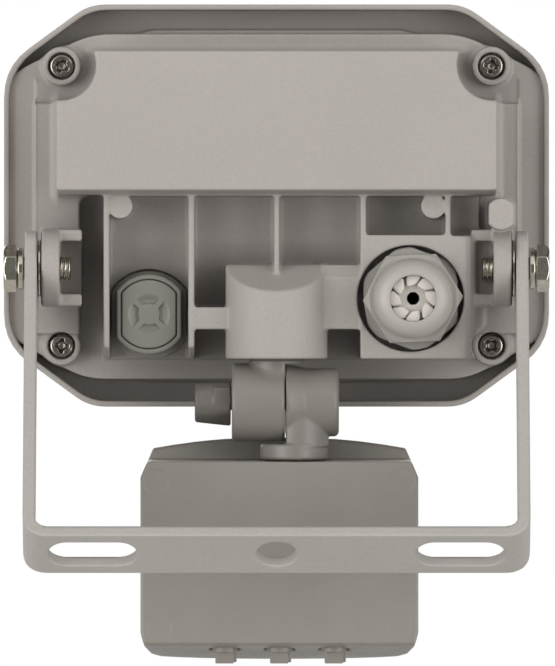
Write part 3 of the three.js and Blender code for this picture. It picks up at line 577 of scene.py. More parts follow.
# CAD nodes that keep their own mesh, and what each is made of.
KEPT = (
    (BLACK_RUBBER, "glass_gasket vent_o_ring pan_o_ring"),
    (PAD, "thermal_pad"),
    (WHITE_BOARD, "led_board"),
    (PHOSPHOR, "led_array"),
    (GREEN_BOARD, "driver_board head_board camera_board"),
    (FERRITE, "driver_transformer"),
    (SLEEVE, "driver_capacitor light_setting_pot time_setting_pot range_setting_pot"),
    (NYLON, "terminal_block"),
    (PLATED, "detector_sensor clamp_nut neck_nut"),
    (BARREL, "camera_lens"),
    (GREY_PLASTIC, "gland_lock_nut"),
    (GLASS, "front_glass"),
    (MIRROR, "reflector"),
)
KEPT_NODES = {node: material for material, nodes in KEPT for node in nodes.split()}


def paint_kept_nodes():
    for name, node in frame["nodes"].items():
        material = KEPT_NODES.get(name, COAT)
        node.data.materials.clear()
        node.data.materials.append(material)


# ---- housing outlines and levels

CASTING_LOW, CASTING_HIGH = box_of("rear_casting")
FRAME_LOW, FRAME_HIGH = box_of("front_frame")
HALF_W, TOP, BOTTOM = FRAME_HIGH[0], FRAME_HIGH[2], FRAME_LOW[2]
FRONT_Y, LIP_Y = FRAME_LOW[1], FRAME_HIGH[1]
RIM_Y = CASTING_LOW[1]
BOX_RISE = 38.4
BOX_Y = RIM_Y + BOX_RISE
BEZEL_Y = box_of("front_glass")[0][1] - 0.3
CORNER_X, CORNER_DROP = 45.8, 15.2
SKIRT = 1.4
GAP = 0.3
# Levels of the casting's back, from the groove behind the skirt up to the rib deck.
TROUGH_Y, SHELF_Y, LEDGE_Y, DECK_Y = RIM_Y - 3.6, RIM_Y + 7.9, RIM_Y + 15.4, BOX_Y - 7
FLANGE_Y = TROUGH_Y - 2
PIVOT_HOLE_R = 3.3
SCREW_HOLE_R = 1.8
ARM_BORE_R = 6.8
HINGE_HOLE_R = 2.3
GLAND_BORE_R = 5.6
GLAND_WELL_R = 12.95
VENT_WELL_R = 10.9

# Each corner screw stopped at its own turn, in radians.
SCREW_TURNS = {"top_left": 0.5, "top_right": 0.2, "bottom_left": 0.1, "bottom_right": 0.75}
SCREWS = [seen_middle(f"corner_screw_{place}") for place in SCREW_TURNS]
GLAND = seen_middle("gland_body")
VENT = seen_middle("vent_cap")
_, PAN_Y, HINGE_Z = middle_of("clamp_nut")
ARM, NECK, HINGE = (0, PAN_Y), (-4.3, PAN_Y), (PAN_Y, HINGE_Z)
LED_Y = box_of("led_board")[1][1]


def housing_outline(inset):
    """The octagon of the housing, moved in by `inset`, with its corners rounded."""
    run = HALF_W - CORNER_X
    slope = math.hypot(run, CORNER_DROP)
    nx, nz = CORNER_DROP / slope, run / slope
    half, top, bottom = HALF_W - inset, TOP - inset, BOTTOM + inset
    level = nx * CORNER_X + nz * TOP - inset
    corner_x = (level - nz * top) / nx
    drop = top - (level - nx * half) / nz
    side = [(corner_x, bottom), (half, bottom + drop), (half, top - drop), (corner_x, top)]
    return rounded(mirrored(side), [4, 7.4, 7.4, 4, 4, 7.4, 7.4, 4])


def window_outline(grow):
    half = [
        (31 + grow * 0.4, -23 - grow),
        (54 + grow, -6.5 - grow * 0.5),
        (54 + grow, 37 + grow * 0.55),
        (30.6 + grow * 0.4, 54 + grow),
    ]
    return rounded(mirrored(half), 3)


# ---- rear casting

DECK_TOP, DECK_LOW, DECK_LEFT = 18.2, -22.0, 42.1
BOX_HALF_W, BOX_TOP, BOX_LOW, SCOOP = 53.8, 53.2, 18.0, 8.6
BAYS = [(21.5, 40.7), (0.6, 20.0), (-20.4, -0.7)]
GLAND_POCKET = (-41.1, -21.8, -8.0, 8.2)
LUG_POCKET = (-49.6, -42.4, -3.5, 8.0)
BOSS_R = 12.4
LUG_R, LUG_Z, LUG_IN, LUG_OUT = 9.3, 0.2, 52.8, 57.2
LEDGE_LOW, LEDGE_HIGH = -15.9, 40.4


def carve_body(casting):
    casting.add(prism("y", housing_outline(SKIRT - GAP), FLANGE_Y, TROUGH_Y, 0.1))
    edge = [(46.9, -27), (58.4, -20.6), (64.9, -16.8), (64.9, 47), (62.1, 49.1), (45.5, 57.4)]
    plateau = rounded(mirrored(edge), [5, 2, 1, 1, 2, 5, 5, 2, 1, 1, 2, 5])
    casting.add(prism("y", plateau, FLANGE_Y, SHELF_Y, 0.5), 0.8)
    casting.add(prism("y", window_outline(4.5), FLANGE_Y, RIM_Y + 0.5, 0.2), 0.8)
    for hand in (1, -1):
        wing = [(59, RIM_Y), (65.6, RIM_Y), (65.6, -17.7), (64.9, -17.8), (60, -23.2)]
        wing += [(59.1, -23), (59, LEDGE_Y)]
        wing = [(hand * x, y) for x, y in wing]
        casting.add(prism("z", wing, LEDGE_LOW, 46.5, 0.3), 0.4)
        ledge = brick(hand * 48, hand * 59.1, RIM_Y, LEDGE_Y, LEDGE_LOW, LEDGE_HIGH, 0.6)
        casting.add(ledge, 0.8)


def carve_box(casting):
    """The raised driver box, its two top corners scooped out round the screws."""
    drafted = [(RIM_Y, BOX_LOW), (5.0, BOX_LOW), (BOX_Y, BOX_LOW + 1.1)]
    drafted += [(BOX_Y, BOX_TOP), (RIM_Y, BOX_TOP)]
    profile = prism("x", drafted, -BOX_HALF_W, BOX_HALF_W, 0.7)
    outline = rectangle(-BOX_HALF_W, BOX_HALF_W, 0, BOX_TOP, 1.2)
    rounded_front = prism("y", outline, RIM_Y, BOX_Y, 0.7)
    scoops = [rod("y", SCOOP, SHELF_Y - 9, BOX_Y + 5, screw) for screw in SCREWS[:2]]
    casting.add(less(both(profile, rounded_front, edge=0.7), *scoops, edge=0.8), 3.0)


def carve_bosses(casting):
    for screw in SCREWS:
        casting.add(rod("y", 4.75, RIM_Y, -14.2, screw, 0.45), 1.0)


def carve_deck(casting):
    """The deck between the ribs on the left and round the cable gland on the right."""
    shoulder = [(-44.5, 0), (-46, -0.4), (-47.2, -1.4), (-48.2, -3.4)]
    shoulder += [(-49, -6.5), (-49.8, -11), (-50.8, -17)]
    shoulder = [(x, DECK_Y + drop) for x, drop in shoulder]
    outline = [(DECK_LEFT, RIM_Y), (DECK_LEFT, DECK_Y), *shoulder, (-52, RIM_Y)]
    deck = prism("z", outline, DECK_LOW, DECK_TOP, 0.4)
    scoops = [rod("y", 5.1, SHELF_Y, BOX_Y, (-SCREWS[0][0], z)) for _, z in SCREWS[2:]]
    pockets = [prism("x", [(8, -18.6), (-9, -22.2), (8, -25)], 11, 43)]
    high = DECK_TOP - 0.3
    for x0, x1 in BAYS:
        profile = [(BOX_Y, DECK_LOW - 3), (BOX_Y, high), (-6.2, high), (-6.6, 6.9)]
        profile += [(-16.2, -20.4), (-16.2, DECK_LOW - 3)]
        pockets.append(prism("x", rounded(profile, [0.1, 0.1, 1.2, 0.8, 1.5, 0.1]), x0, x1, 0.9))
    for x0, x1, floor, low in (GLAND_POCKET, LUG_POCKET):
        pockets.append(brick(x0, x1, floor, BOX_Y + 3, low, high, 0.8))
    casting.add(less(deck, *scoops, *pockets, edge=0.45), 0.9)


def carve_arm_boss(casting):
    post = rod("z", BOSS_R, DECK_LOW, 1, ARM, 0.5)
    slope = prism("x", [(PAN_Y, 1), (PAN_Y, 9), (PAN_Y + 16, 9), (PAN_Y + 16, -7.5)], -14, 14)
    casting.add(less(post, slope, edge=0.5), 0.8)
    casting.add(brick(11, 21, SHELF_Y, DECK_Y, -14.8, -9.4, 0.4), 0.8)
    right = [(SHELF_Y, -14.8), (DECK_Y, -14.8), (DECK_Y, -2.2), (DECK_Y - 2.5, 0.9), (SHELF_Y, 0.9)]
    casting.add(prism("x", right, -21, -11, 0.4), 0.8)


def carve_lugs(casting):
    for hand in (1, -1):
        ends = sorted((hand * LUG_IN, hand * LUG_OUT))
        casting.add(rod("x", LUG_R, *ends, (0, LUG_Z), 0.6), 0.4)
        casting.add(brick(*ends, RIM_Y, 0, LUG_Z - LUG_R, LUG_Z + LUG_R, 0.6), 0.8)
        inner, floor = (47.5, -7.5) if hand > 0 else (46.5, -2.2)
        casting.add(brick(hand * inner, hand * 54, RIM_Y, floor, -6.5, 7, 0.5), 0.8)
        for z0, z1 in ((6.7, LUG_Z + LUG_R), (LUG_Z - LUG_R, -6.2)):
            casting.add(brick(hand * 47.4, hand * 53.5, RIM_Y, 2, z0, z1, 0.5), 0.7)


def carve_pads_and_peg(casting):
    casting.add(brick(-47.5, -54.5, RIM_Y, -6, 8, DECK_TOP + 0.2, 0.5), 0.8)
    for x in (38.05, -38.2):
        casting.add(rod("y", 3.05, -9, DECK_Y - 0.5, (x, 15.2), 0.3), 0.5)
    vent_pad = rod("y", VENT_WELL_R, TROUGH_Y, -11.5, VENT, 0.3)
    casting.add(both(vent_pad, brick(21, 41.2, TROUGH_Y, 0, -21.5, 5)), 0.4)
    casting.add(prism("y", flatted((-54.7, 13.2), 3.9, 3.1), TROUGH_Y, BOX_Y, 0.6), 0.8)


def carve_hollows(casting):
    casting.keep(prism("y", housing_outline(SKIRT - GAP), TROUGH_Y - 4, BOX_Y + 1, 0.3))
    bay = brick(-51.4, 51.4, LED_Y + 3.4, BOX_Y - 2.2, 21, 51, 0.8)
    clear = [rod("y", SCOOP + 2, RIM_Y - 4, BOX_Y + 3, screw) for screw in SCREWS]
    casting.cut(less(bay, *clear, edge=0.5), 0.4)
    casting.cut(prism("y", window_outline(-2), RIM_Y - 8, LED_Y + 0.9, 0.5), 0.3)
    casting.cut(brick(-41.4, -24, -19.5, -6, -19, 6, 0.8), 0.3)
    for screw in SCREWS:
        casting.cut(rod("y", 3.35, -16.5, -10, screw), 0.35)
        casting.cut(rod("y", SCREW_HOLE_R, RIM_Y - 6, -15, screw))
    for hand in (1, -1):
        casting.cut(rod("x", PIVOT_HOLE_R, *sorted((hand * 52, hand * 70)), (0, 0)), 0.4)
    casting.cut(rod("y", GLAND_WELL_R, -2, 20, GLAND, 0.5), 0.4)
    casting.cut(rod("y", 7.8, -9, 0, GLAND))
    casting.cut(both(rod("y", VENT_WELL_R, -11.5, 0, VENT), brick(21.5, 40.7, -14, 4, -21.4, 2)))
    casting.cut(rod("y", 5.4, RIM_Y - 6, -5, VENT))
    casting.cut(rod("z", ARM_BORE_R, DECK_LOW - 1, -8.5, ARM, 0.3), 0.4)


def make_casting():
    flange_room = (0, 4.5, 0)
    casting = Carving(CASTING_LOW - flange_room, CASTING_HIGH, grid_step(0.36), reach=4.0)
    carve_body(casting)
    carve_box(casting)
    carve_deck(casting)
    carve_arm_boss(casting)
    carve_lugs(casting)
    carve_pads_and_peg(casting)
    carve_bosses(casting)
    carve_hollows(casting)
    make_piece("casting_skin", casting, COAT, "housing", ["rear_casting"])


# ---- front of the lamp


def make_front_frame():
    shell = Carving(FRAME_LOW, FRAME_HIGH, grid_step(0.36))
    shell.add(prism("y", housing_outline(0), FRONT_Y, LIP_Y + 3, 1.8))
    shell.keep(prism("y", housing_outline(-1), FRONT_Y - 1, LIP_Y))
    inside = prism("y", housing_outline(SKIRT), BEZEL_Y, LIP_Y + 5, 1.0)
    shell.cut(inside, 0.5)
    shell.cut(prism("y", window_outline(0), FRONT_Y - 5, BEZEL_Y + 5), 0.9)
    for screw in SCREWS:
        shell.add(rod("y", 4, BEZEL_Y - 0.8, RIM_Y - GAP, screw, 0.3), 0.8)
        shell.cut(rod("y", SCREW_HOLE_R, BEZEL_Y + GAP, RIM_Y + 2, screw))
    make_skin("front_frame", shell, COAT, "housing")


# ---- bracket and pivots


def make_bracket():
    out, thick, half = 61.3, 3.0, 8.0
    tall = math.hypot(PIVOT.y, PIVOT.z) / MM + 1.4
    outer = [(-out, 0), (out, 0), (out, tall + half + 3), (-out, tall + half + 3)]
    inside, above = out - thick, tall + 30
    inner = [(-inside, thick), (inside, thick), (inside, above), (-inside, above)]
    strap = Carving((-out, -half, 0), (out, half, tall + half), grid_step(0.34))
    strap.add(prism("y", rounded(outer, [6.5, 6.5, 0.1, 0.1], 8), -half, half, 0.45))
    strap.cut(prism("y", rounded(inner, [3.5, 3.5, 0.1, 0.1], 8), -half - 3, half + 3), 0.45)
    ends = rod("x", half, -out - 3, out + 3, (0, tall))
    ends = union_shape(ends, brick(-out - 3, out + 3, -half, half, -3, tall))
    strap.keep(ends, 0.45)
    slot_r, slot_run = 4.65, 6.1
    for x in (-44.4, 44.4):
        ends = [rod("z", slot_r, -3, thick + 3, (x + run, 0)) for run in (-slot_run, slot_run)]
        middle = brick(x - slot_run, x + slot_run, -slot_r, slot_r, -3, thick + 3)
        strap.cut(union_shape(union_shape(*ends), middle), 0.35)
    strap.cut(rod("z", 4.9, -3, thick + 3, (0, 0)), 0.35)
    strap.cut(rod("x", PIVOT_HOLE_R, -out - 3, out + 3, (0, tall - 1.4)), 0.3)
    make_skin("bracket", strap, STRAP_COAT, "bracket", STRAP)


def thread(radius, pitch, depth, start, end, centre):
    """A threaded rod along X with a rounded 60 degree profile."""

    def at(x, y, z):
        a, b = y - centre[0], z - centre[1]
        turn = np.arctan2(b, a) / (2 * math.pi)
        wave = np.abs(2 * ((x / pitch + turn) % 1) - 1)
        side = np.sqrt(a * a + b * b) - radius + depth * wave
        return overlap(side * 0.86, extent(x, start, end), 0.3)

    return Shape(at, *bounds_round("x", start, end, centre, radius))


def make_pivot_bolts():
    for name, hand in (("left", 1), ("right", -1)):
        low, high = box_of(f"pivot_bolt_{name}")
        tip, head = (low[0], high[0]) if hand > 0 else (high[0], low[0])
        seat = head - hand * 3.2
        bolt = Carving(low, high, 0.16, 1.5)
        hexagon = nut("x", 5.02, *sorted((seat, head)), (0, 0), math.pi, 0.12)
        cone = rod("x", 12.2, *sorted((seat, head + hand * 3.4)), (0, 0), 0, 12.2)
        wide, narrow = 9.2, 4.9
        if hand > 0:
            chamfer = rod("x", wide, seat, head, (0, 0), 0, narrow)
        else:
            chamfer = rod("x", narrow, head, seat, (0, 0), 0, wide)
        bolt.add(both(hexagon, chamfer, cone, edge=0.1))
        bolt.add(rod("x", 4.6, *sorted((seat - hand * 0.25, seat)), (0, 0), 0.05))
        bolt.add(thread(3.0, 1.0, 0.5, *sorted((tip, seat)), (0, 0)), 0.1)
        make_skin(f"pivot_bolt_{name}", bolt, PLATED, "housing")
        make_washers(name)


def make_washers(name):
    for kind, radius, edge, hole_edge in (("spring", 5.1, 0.25, 0.2), ("flat", 6.9, 0.15, 0.12)):
        node = f"{kind}_washer_{name}"
        low, high, ring = block(node, 0.14, 1.2)
        ring.add(rod("x", radius, low[0], high[0], (0, 0), edge))
        ring.cut(rod("x", PIVOT_HOLE_R, low[0] - 1, high[0] + 1, (0, 0)), hole_edge)
        if kind == "spring":
            slit = [(-0.6, 2), (0.2, 2), (0.9, 6), (0.1, 6)]
            ring.cut(prism("x", slit, low[0] - 1, high[0] + 1), 0.1)
        make_skin(node, ring, PLATED, "housing")


def make_corner_screws():
    """Pan heads with a deep cross recess."""
    for place, turn in SCREW_TURNS.items():
        node = f"corner_screw_{place}"
        low, high = box_of(node)
        x, z = seen_middle(node)
        top = high[1]
        screw = Carving(low - 0.4, high + 0.4, 0.11, 1.2)
        screw.add(rod("y", 2.95, top - 1.8, top, (x, z), 0.7))
        funnel = rod("y", 0.9, top - 1.5, top + 0.4, (x, z), 0, 2.15)
        for quarter in (turn, turn + math.pi / 2):
            screw.cut(both(turned_slot(x, z, quarter, 2.2, 0.52, top - 2, top + 2), funnel), 0.12)
        screw.cut(rod("y", 0.5, top - 1.7, top + 0.3, (x, z), 0, 1.35), 0.1)
        screw.add(rod("y", 1.5, low[1], top - 1.6, (x, z), 0.2))
        make_skin(node, screw, SCREW_STEEL, "housing")


def turned_slot(x0, z0, turn, half_long, half_wide, y0, y1):
    """A straight slot across a screw head, turned about the screw's own axis."""
    c, s = math.cos(turn), math.sin(turn)

    def at(x, y, z):
        a = (x - x0) * c + (z - z0) * s
        b = (z - z0) * c - (x - x0) * s
        side = overlap(np.abs(a) - half_long, np.abs(b) - half_wide, 0.1)
        return overlap(side, extent(y, y0, y1), 0.0)

    return Shape(at, *bounds_round("y", y0, y1, (x0, z0), half_long + half_wide))


# ---- cable gland and vent plug


def make_gland():
    at = (GLAND[0] - 0.35, GLAND[1])
    low, high, body = block("gland_body", grid_step(0.2), 2)
    turn = math.radians(-10)
    flats = nut("y", 11.75, -1.7, 3.2, at, turn, 0.35)
    body.add(both(flats, rod("y", 12.6, -1.7, 3.2, at, 0.6), edge=0.1))
    body.add(rod("y", 7.4, low[1], -1.5, at, 0.3))
    body.add(rod("y", 8, 3, high[1], at, 0.3))
    body.cut(rod("y", GLAND_BORE_R, low[1] - 1, high[1] + 1, at), 0.3)
    make_skin("gland_body", body, GREY_PLASTIC, "housing")

    at = (GLAND[0] - 0.6, GLAND[1])
    low, high, cap = block("gland_cap_nut", grid_step(0.17), 3)
    top = high[1]
    hexagon = nut("y", 10.6, 3.5, 8.4, at, math.radians(27.5), 0.15)
    chamfer = rod("y", 14.6, 3.5, 8.4, at, 0, 10.8)
    cap.add(both(hexagon, chamfer, edge=0.12))
    cap.add(rod("y", 9.75, 8, top, at, 4.4), 0.3)
    cap.cut(rod("y", GLAND_BORE_R, 10, top + 3, at), 0.4)
    cap.cut(rod("y", 8.3, 3, 12.8, at, 0.3), 0.2)
    make_piece("gland_cap_skin", cap, GREY_PLASTIC, "housing", ["gland_cap_nut"])
    make_gland_seal(at)


def make_gland_seal(at):
    """A slit seal: eight tongues swirled round a small round hole."""
    low, high = box_of("gland_seal")
    top = high[1]
    seal = Carving(low, high, grid_step(0.1), 1.5)
    seal.add(rod("y", 7.9, low[1], low[1] + 1.2, at, 0.2))
    seal.add(rod("y", 5.5, low[1], top - 2.2, at, 0.2), 0.2)
    middle_hole = rod("y", 3.15, top - 4, top + 2, at)
    tongues = less(rod("y", 5.6, top - 2.4, top, at), middle_hole, edge=0.1)
    slits = []
    for k in range(8):
        angle = 2 * math.pi * (k + 0.42) / 8
        middle = (at[0] + 4.4 * math.cos(angle), at[1] + 4.4 * math.sin(angle))
        wide = 0.26 if k in (1, 5) else 0.1
        slits.append(turned_slot(*middle, angle + math.radians(20), 1.9, wide, top - 4, top + 2))
        point = (at[0] + 1.25 * math.cos(angle), at[1] + 1.25 * math.sin(angle))
        seal.cut(nut("y", 0.42, low[1] + 0.4, top + 1, point, angle, 0.05, 4), 0.1)
    seal.add(less(tongues, *slits, edge=0.7))
    seal.cut(rod("y", 1.5, low[1] - 1, top + 1, at), 0.1)
    make_skin("gland_seal", seal, PETAL_RUBBER, "housing")


def make_vent():
    at = VENT
    low, high, plug = block("vent_plug", grid_step(0.18), 2)
    room = brick(21.8, 40.4, -20, 0, -21.2, 5, 0.5)
    plug.add(both(rod("y", 10.5, -10.2, -8.4, at, 0.4), room, edge=0.4))
    plug.add(prism("y", flatted(at, 9.75, 7.9), -9, high[1], 0.55), 0.7)
    plug.cut(prism("y", flatted(at, 8.5, 6.75), -6.5, high[1] + 3), 0.3)
    plug.add(rod("y", 5, low[1], -10, at, 0.3))
    plug.cut(rod("y", 3, low[1] - 1, -5.8, at), 0.2)
    make_skin("vent_plug", plug, VENT_PLASTIC, "housing")
    low, high, cap = block("vent_cap", grid_step(0.16), 2)
    cap.add(prism("y", flatted(at, 8.35, 6.6), low[1], high[1], 0.45))
    dish = rod("y", 3.6, high[1] - 0.9, high[1] + 0.1, at, 0, 5.1)
    arcs = less(dish, rod("y", 2.65, high[1] - 3, high[1] + 3, at))
    bars = [turned_slot(*at, math.radians(a), 8, 0.7, high[1] - 3, high[1] + 3) for a in (43, 133)]
    cap.cut(less(arcs, *bars, edge=0.3), 0.15)
    make_skin("vent_cap", cap, VENT_PLASTIC, "housing")


# ---- sensor arm


def on_hinge(radius, x0, x1, edge=0.0, tip=None):
    return rod("x", radius, x0, x1, HINGE, edge, tip)


def make_pan_knuckle():
    _, high, knuckle = block("pan_knuckle", grid_step(0.25), 3)
    split_x = -2.05
    clear = union_shape(brick(split_x, 20, -20, 20, -50, -23.2), brick(-9, 9, -9, 9, -23.2, 0))
    knuckle.add(rod("z", 6.7, HINGE_Z, -22.3, ARM, 0.3))
    knuckle.keep(clear, 0.2)
    knuckle.add(on_hinge(9.5, split_x, high[0], 0.8), 0.9)
    knuckle.add(rod("z", 6.4, -23, high[2], ARM, 0.4))
    groove = less(rod("z", 8, -15.2, -14, ARM), rod("z", 5.3, -17, -12, ARM))
    knuckle.cut(groove, 0.1)
    knuckle.cut(on_hinge(HINGE_HOLE_R, -20, 20), 0.2)
    knuckle.cut(rod("z", 2.8, HINGE_Z, 0, ARM), 0.2)
    make_skin("pan_knuckle", knuckle, ARM_PLASTIC, "pan_arm")


def make_tilt_knuckle():
    low, _, knuckle = block("tilt_knuckle", grid_step(0.25), 3)
    knuckle.add(on_hinge(8.3, low[0], -2.35, 1.3))
    knuckle.add(on_hinge(8.2, -6.6, -2.35, 0.1, 9.5), 0.8)
    neck = rod("z", 7.7, -43.2, HINGE_Z, (-5.4, PAN_Y))
    knuckle.add(both(neck, brick(-12.7, -2.35, -20, 20, -60, 0), edge=0.4), 0.3)
    knuckle.add(rod("z", 8.3, -46.6, -42.8, NECK, 0.7), 0.6)
    knuckle.add(rod("z", 5, low[2], -46.5, NECK, 0.3))
    knuckle.cut(on_hinge(3.9, low[0] - 3, low[0] + 2.4), 0.4)
    knuckle.cut(on_hinge(HINGE_HOLE_R, low[0] - 1, 0))
    knuckle.cut(rod("z", 2.5, low[2] - 1, -43, NECK))
    make_skin("tilt_knuckle", knuckle, ARM_PLASTIC, "sensor_head")


def make_clamp_knob():
    low, high, knob = block("clamp_knob", grid_step(0.18), 2)
    sides = nut("x", 4.95, low[0] - 1, high[0] + 1, HINGE, math.radians(15), 0.35, 5)
    cone = on_hinge(5.75, low[0], high[0], 0.6, 4.8)
    knob.add(both(sides, cone, edge=0.35))
    knob.add(brick(low[0], low[0] + 4.2, PAN_Y + 3, PAN_Y + 5.15, -33, -28.9, 0.3), 0.6)
    knob.cut(on_hinge(HINGE_HOLE_R, low[0] - 3, high[0] - 2.3))
    knob.cut(on_hinge(4, low[0] - 3, low[0] + 3.2))
    # The knob's darker plastic is painted shade, not a different plastic.
    make_skin("clamp_knob", knob, KNOB_SHADED_PLASTIC, "clamp_knob")


def make_hinge_screw():
    low, high, screw = block("hinge_screw", 0.14, 1.5)
    screw.add(on_hinge(3.5, low[0], low[0] + 1.8, 0.4))
    screw.add(thread(2.0, 0.7, 0.35, low[0] + 1, high[0], HINGE), 0.1)
    screw.cut(nut("x", 1.15, low[0] - 1, low[0] + 1.0, HINGE, 0.2), 0.1)
    make_skin("hinge_screw", screw, SCREW_STEEL, "sensor_head")


# ---- sensor head

SHELL_LOW, SHELL_HIGH = box_of("head_shell")
COVER_LOW, COVER_HIGH = box_of("head_back_cover")
HEAD_X = (SHELL_LOW[0] + SHELL_HIGH[0]) / 2
HEAD_HALF_W = (SHELL_HIGH[0] - SHELL_LOW[0]) / 2
HEAD_FRONT, HEAD_BACK = SHELL_LOW[1], COVER_HIGH[1]
HEAD_SEAM = SHELL_HIGH[1] + GAP
HOOD, CHIN = -41.0, -95.6
BACK_TOP, BACK_LOW = -47.0, -91.2
VISOR_Y, VISOR_RUN = HEAD_FRONT + 9.5, 2.5
WALL = 2.0
LENS_R = 24


def head_outline(inset):
    """The head seen from behind: a gently arched top and bottom, with its corners cut."""
    w = HEAD_HALF_W - inset
    top, low = HOOD - inset, CHIN + inset
    arch = [(t, 0.5 * (1 - t * t)) for t in np.linspace(-1, 1, 13)]
    upper = [(HEAD_X + t * (w - 3), top - 2.8 + 5.6 * rise) for t, rise in arch]
    lower = [(HEAD_X - t * (w - 5), low + 0.9 - 1.8 * rise) for t, rise in arch]
    right = [(HEAD_X + w, top - 9.8), (HEAD_X + w, low + 7)]
    left = [(HEAD_X - w, low + 7), (HEAD_X - w, top - 9.8)]
    turn = [(HEAD_X + w - 0.9, low + 3.6), (HEAD_X + w - 2.6, low + 1.6)]
    turn_left = [(2 * HEAD_X - x, z) for x, z in reversed(turn)]
    return [*upper, *right, *turn, *lower, *turn_left, *left]


def head_profile(inset, back):
    """The head from its side: a low back, a raised visor, and a bottom that spreads forward."""
    front = HEAD_FRONT + inset
    return [
        (back, BACK_TOP - inset),
        (VISOR_Y - inset * 0.8, BACK_TOP + 0.5 - inset),
        (VISOR_Y - VISOR_RUN - inset * 0.8, HOOD - inset),
        (front + 1.5, HOOD - inset),
        (front, HOOD - inset - 2.5),
        (front, CHIN + inset + 2),
        (front + 1.5, CHIN + inset),
        (back, BACK_LOW + inset),
    ]


def head_blank(inset, back, edge):
    side = prism("x", head_profile(inset, back), HEAD_X - 40, HEAD_X + 40)
    return both(side, prism("y", head_outline(inset), HEAD_FRONT - 5, back + 5), edge=edge)


def make_head_shell():
    shell = Carving(SHELL_LOW, SHELL_HIGH, grid_step(0.36))
    shell.add(head_blank(0, HEAD_SEAM + 3, 0.8))
    shell.keep(brick(-60, 60, -60, HEAD_SEAM - GAP, -120, 0), 0.3)
    shell.cut(head_blank(WALL, HEAD_SEAM + 6, 0.5), 0.3)
    lens_low, lens_high = box_of("detector_lens")
    drum_y = lens_low[1] + LENS_R
    shell.add(rod("z", 9.6, -49, -46.9, NECK, 0.3), 0.5)
    lens_hole = both(
        rod("z", LENS_R + GAP, lens_low[2] - GAP, lens_high[2] + GAP, (HEAD_X, drum_y)),
        brick(HEAD_X - 30, HEAD_X + 30, HEAD_FRONT - 5, HEAD_FRONT + 5, -99, -50),
    )
    shell.cut(lens_hole, 0.4)
    low, high = box_of("camera_window")
    eye = rectangle(low[0] - GAP, high[0] + GAP, low[2] - GAP, high[2] + GAP, 4)
    shell.cut(prism("y", eye, HEAD_FRONT - 4, HEAD_FRONT + 1.2), 0.3)
    small = rectangle(low[0] + 1.2, high[0] - 1.2, low[2] + 1.2, high[2] - 1.2, 3.4)
    shell.cut(prism("y", small, HEAD_FRONT - 4, HEAD_FRONT + 5))
    shell.cut(rod("z", 9, -47, -38, NECK), 0.3)
    shell.cut(rod("z", 5.6, -60, -40, NECK))
    for name in ("light", "time", "range"):
        x, y, _ = middle_of(f"{name}_setting_knob")
        shell.cut(rod("z", 3.7, -99, -90, (x, y)), 0.3)
    make_skin("head_shell", shell, HEAD_PLASTIC, "sensor_head")


def make_head_cover():
    cover = Carving(COVER_LOW, COVER_HIGH, grid_step(0.36))
    cover.add(head_blank(0, HEAD_BACK, 0.7))
    cover.keep(brick(-60, 60, HEAD_SEAM, HEAD_BACK, -120, 0), 0.45)
    lip_room = brick(-50, 50, HEAD_SEAM - 2.6, HEAD_SEAM + 1, -100, -40)
    lip = both(head_blank(WALL + GAP, HEAD_BACK, 0.3), lip_room)
    inner = both(head_blank(WALL + 1.8, HEAD_BACK, 0.3), brick(-50, 50, 0, HEAD_SEAM, -100, -40))
    cover.add(less(lip, inner))
    room = both(rod("z", 10, -54, -38, NECK), brick(-20, 20, 0, HEAD_SEAM, -60, -30))
    cover.cut(room)
    cover.cut(rod("z", 8.7, -46.95, -38, NECK), 0.2)
    for x, z in ((29.2, -51.8), (28.4, -87.5), (-29.8, -86.8), (-30.6, -51.6)):
        cover.cut(rod("y", 2.9, HEAD_BACK - 0.25, HEAD_BACK + 2, (x, z)))
    nodes = ["head_back_cover"]
    make_piece("head_cover_skin", cover, HEAD_PLASTIC, "sensor_head", nodes)


def make_detector_lens():
    """A curved ribbed lens in a grid of small fields."""
    low, high, lens = block("detector_lens", grid_step(0.25), 2)
    centre_y = low[1] + LENS_R
    drum = less(
        rod("z", LENS_R, low[2], high[2], (HEAD_X, centre_y), 0.4),
        rod("z", LENS_R - 1.4, low[2] + 1.2, high[2] - 1.2, (HEAD_X, centre_y)),
    )
    lens.add(both(drum, brick(low[0], high[0], low[1], high[1], low[2], high[2])))

    def grooves(x, y, z):
        around = np.arctan2(x - HEAD_X, centre_y - y) * LENS_R
        column = np.abs((around + 2.1) % 4.2 - 2.1)
        row = np.abs((z - low[2] - 0.6) % 5.4)
        edge = np.minimum(column, row) - 0.16
        depth = np.sqrt((x - HEAD_X) ** 2 + (y - centre_y) ** 2) - (LENS_R - 0.25)
        return overlap(edge, -depth, 0.1)

    lens.cut(Shape(grooves, low, high), 0.1)
    make_skin("detector_lens", lens, LENS, "sensor_head")


def make_camera_window():
    low, high, window = block("camera_window", grid_step(0.2), 2)
    window.add(prism("y", rectangle(low[0], high[0], low[2], high[2], 4), low[1], high[1], 0.35))
    make_skin("camera_window", window, WINDOW, "sensor_head")


def make_setting_knobs():
    """Each has a round collar and, under it, a square finger grip with a pointer rib."""
    for name in ("light", "time", "range"):
        node = f"{name}_setting_knob"
        low, high, knob = block(node, grid_step(0.13), 1.5)
        x, y, _ = middle_of(node)
        knob.add(rod("z", 3.25, low[2] + 2.7, low[2] + 5.7, (x, y), 0.25))
        knob.add(brick(x - 2.2, x + 2.3, y - 2.2, y + 2.3, low[2], low[2] + 3.5, 0.25), 0.2)
        knob.add(brick(x - 2.9, x - 2, y - 1.6, y + 1.7, low[2] + 0.3, low[2] + 4, 0.25), 0.1)
        knob.cut(brick(x - 1.7, x + 1.7, y - 0.45, y + 0.45, low[2] - 2, low[2] + 0.9), 0.15)
        knob.add(rod("z", 1.5, low[2] + 5, high[2], (x, y), 0.2))
        make_skin(node, knob, HEAD_PLASTIC, f"{name}_knob")


# ---- studio


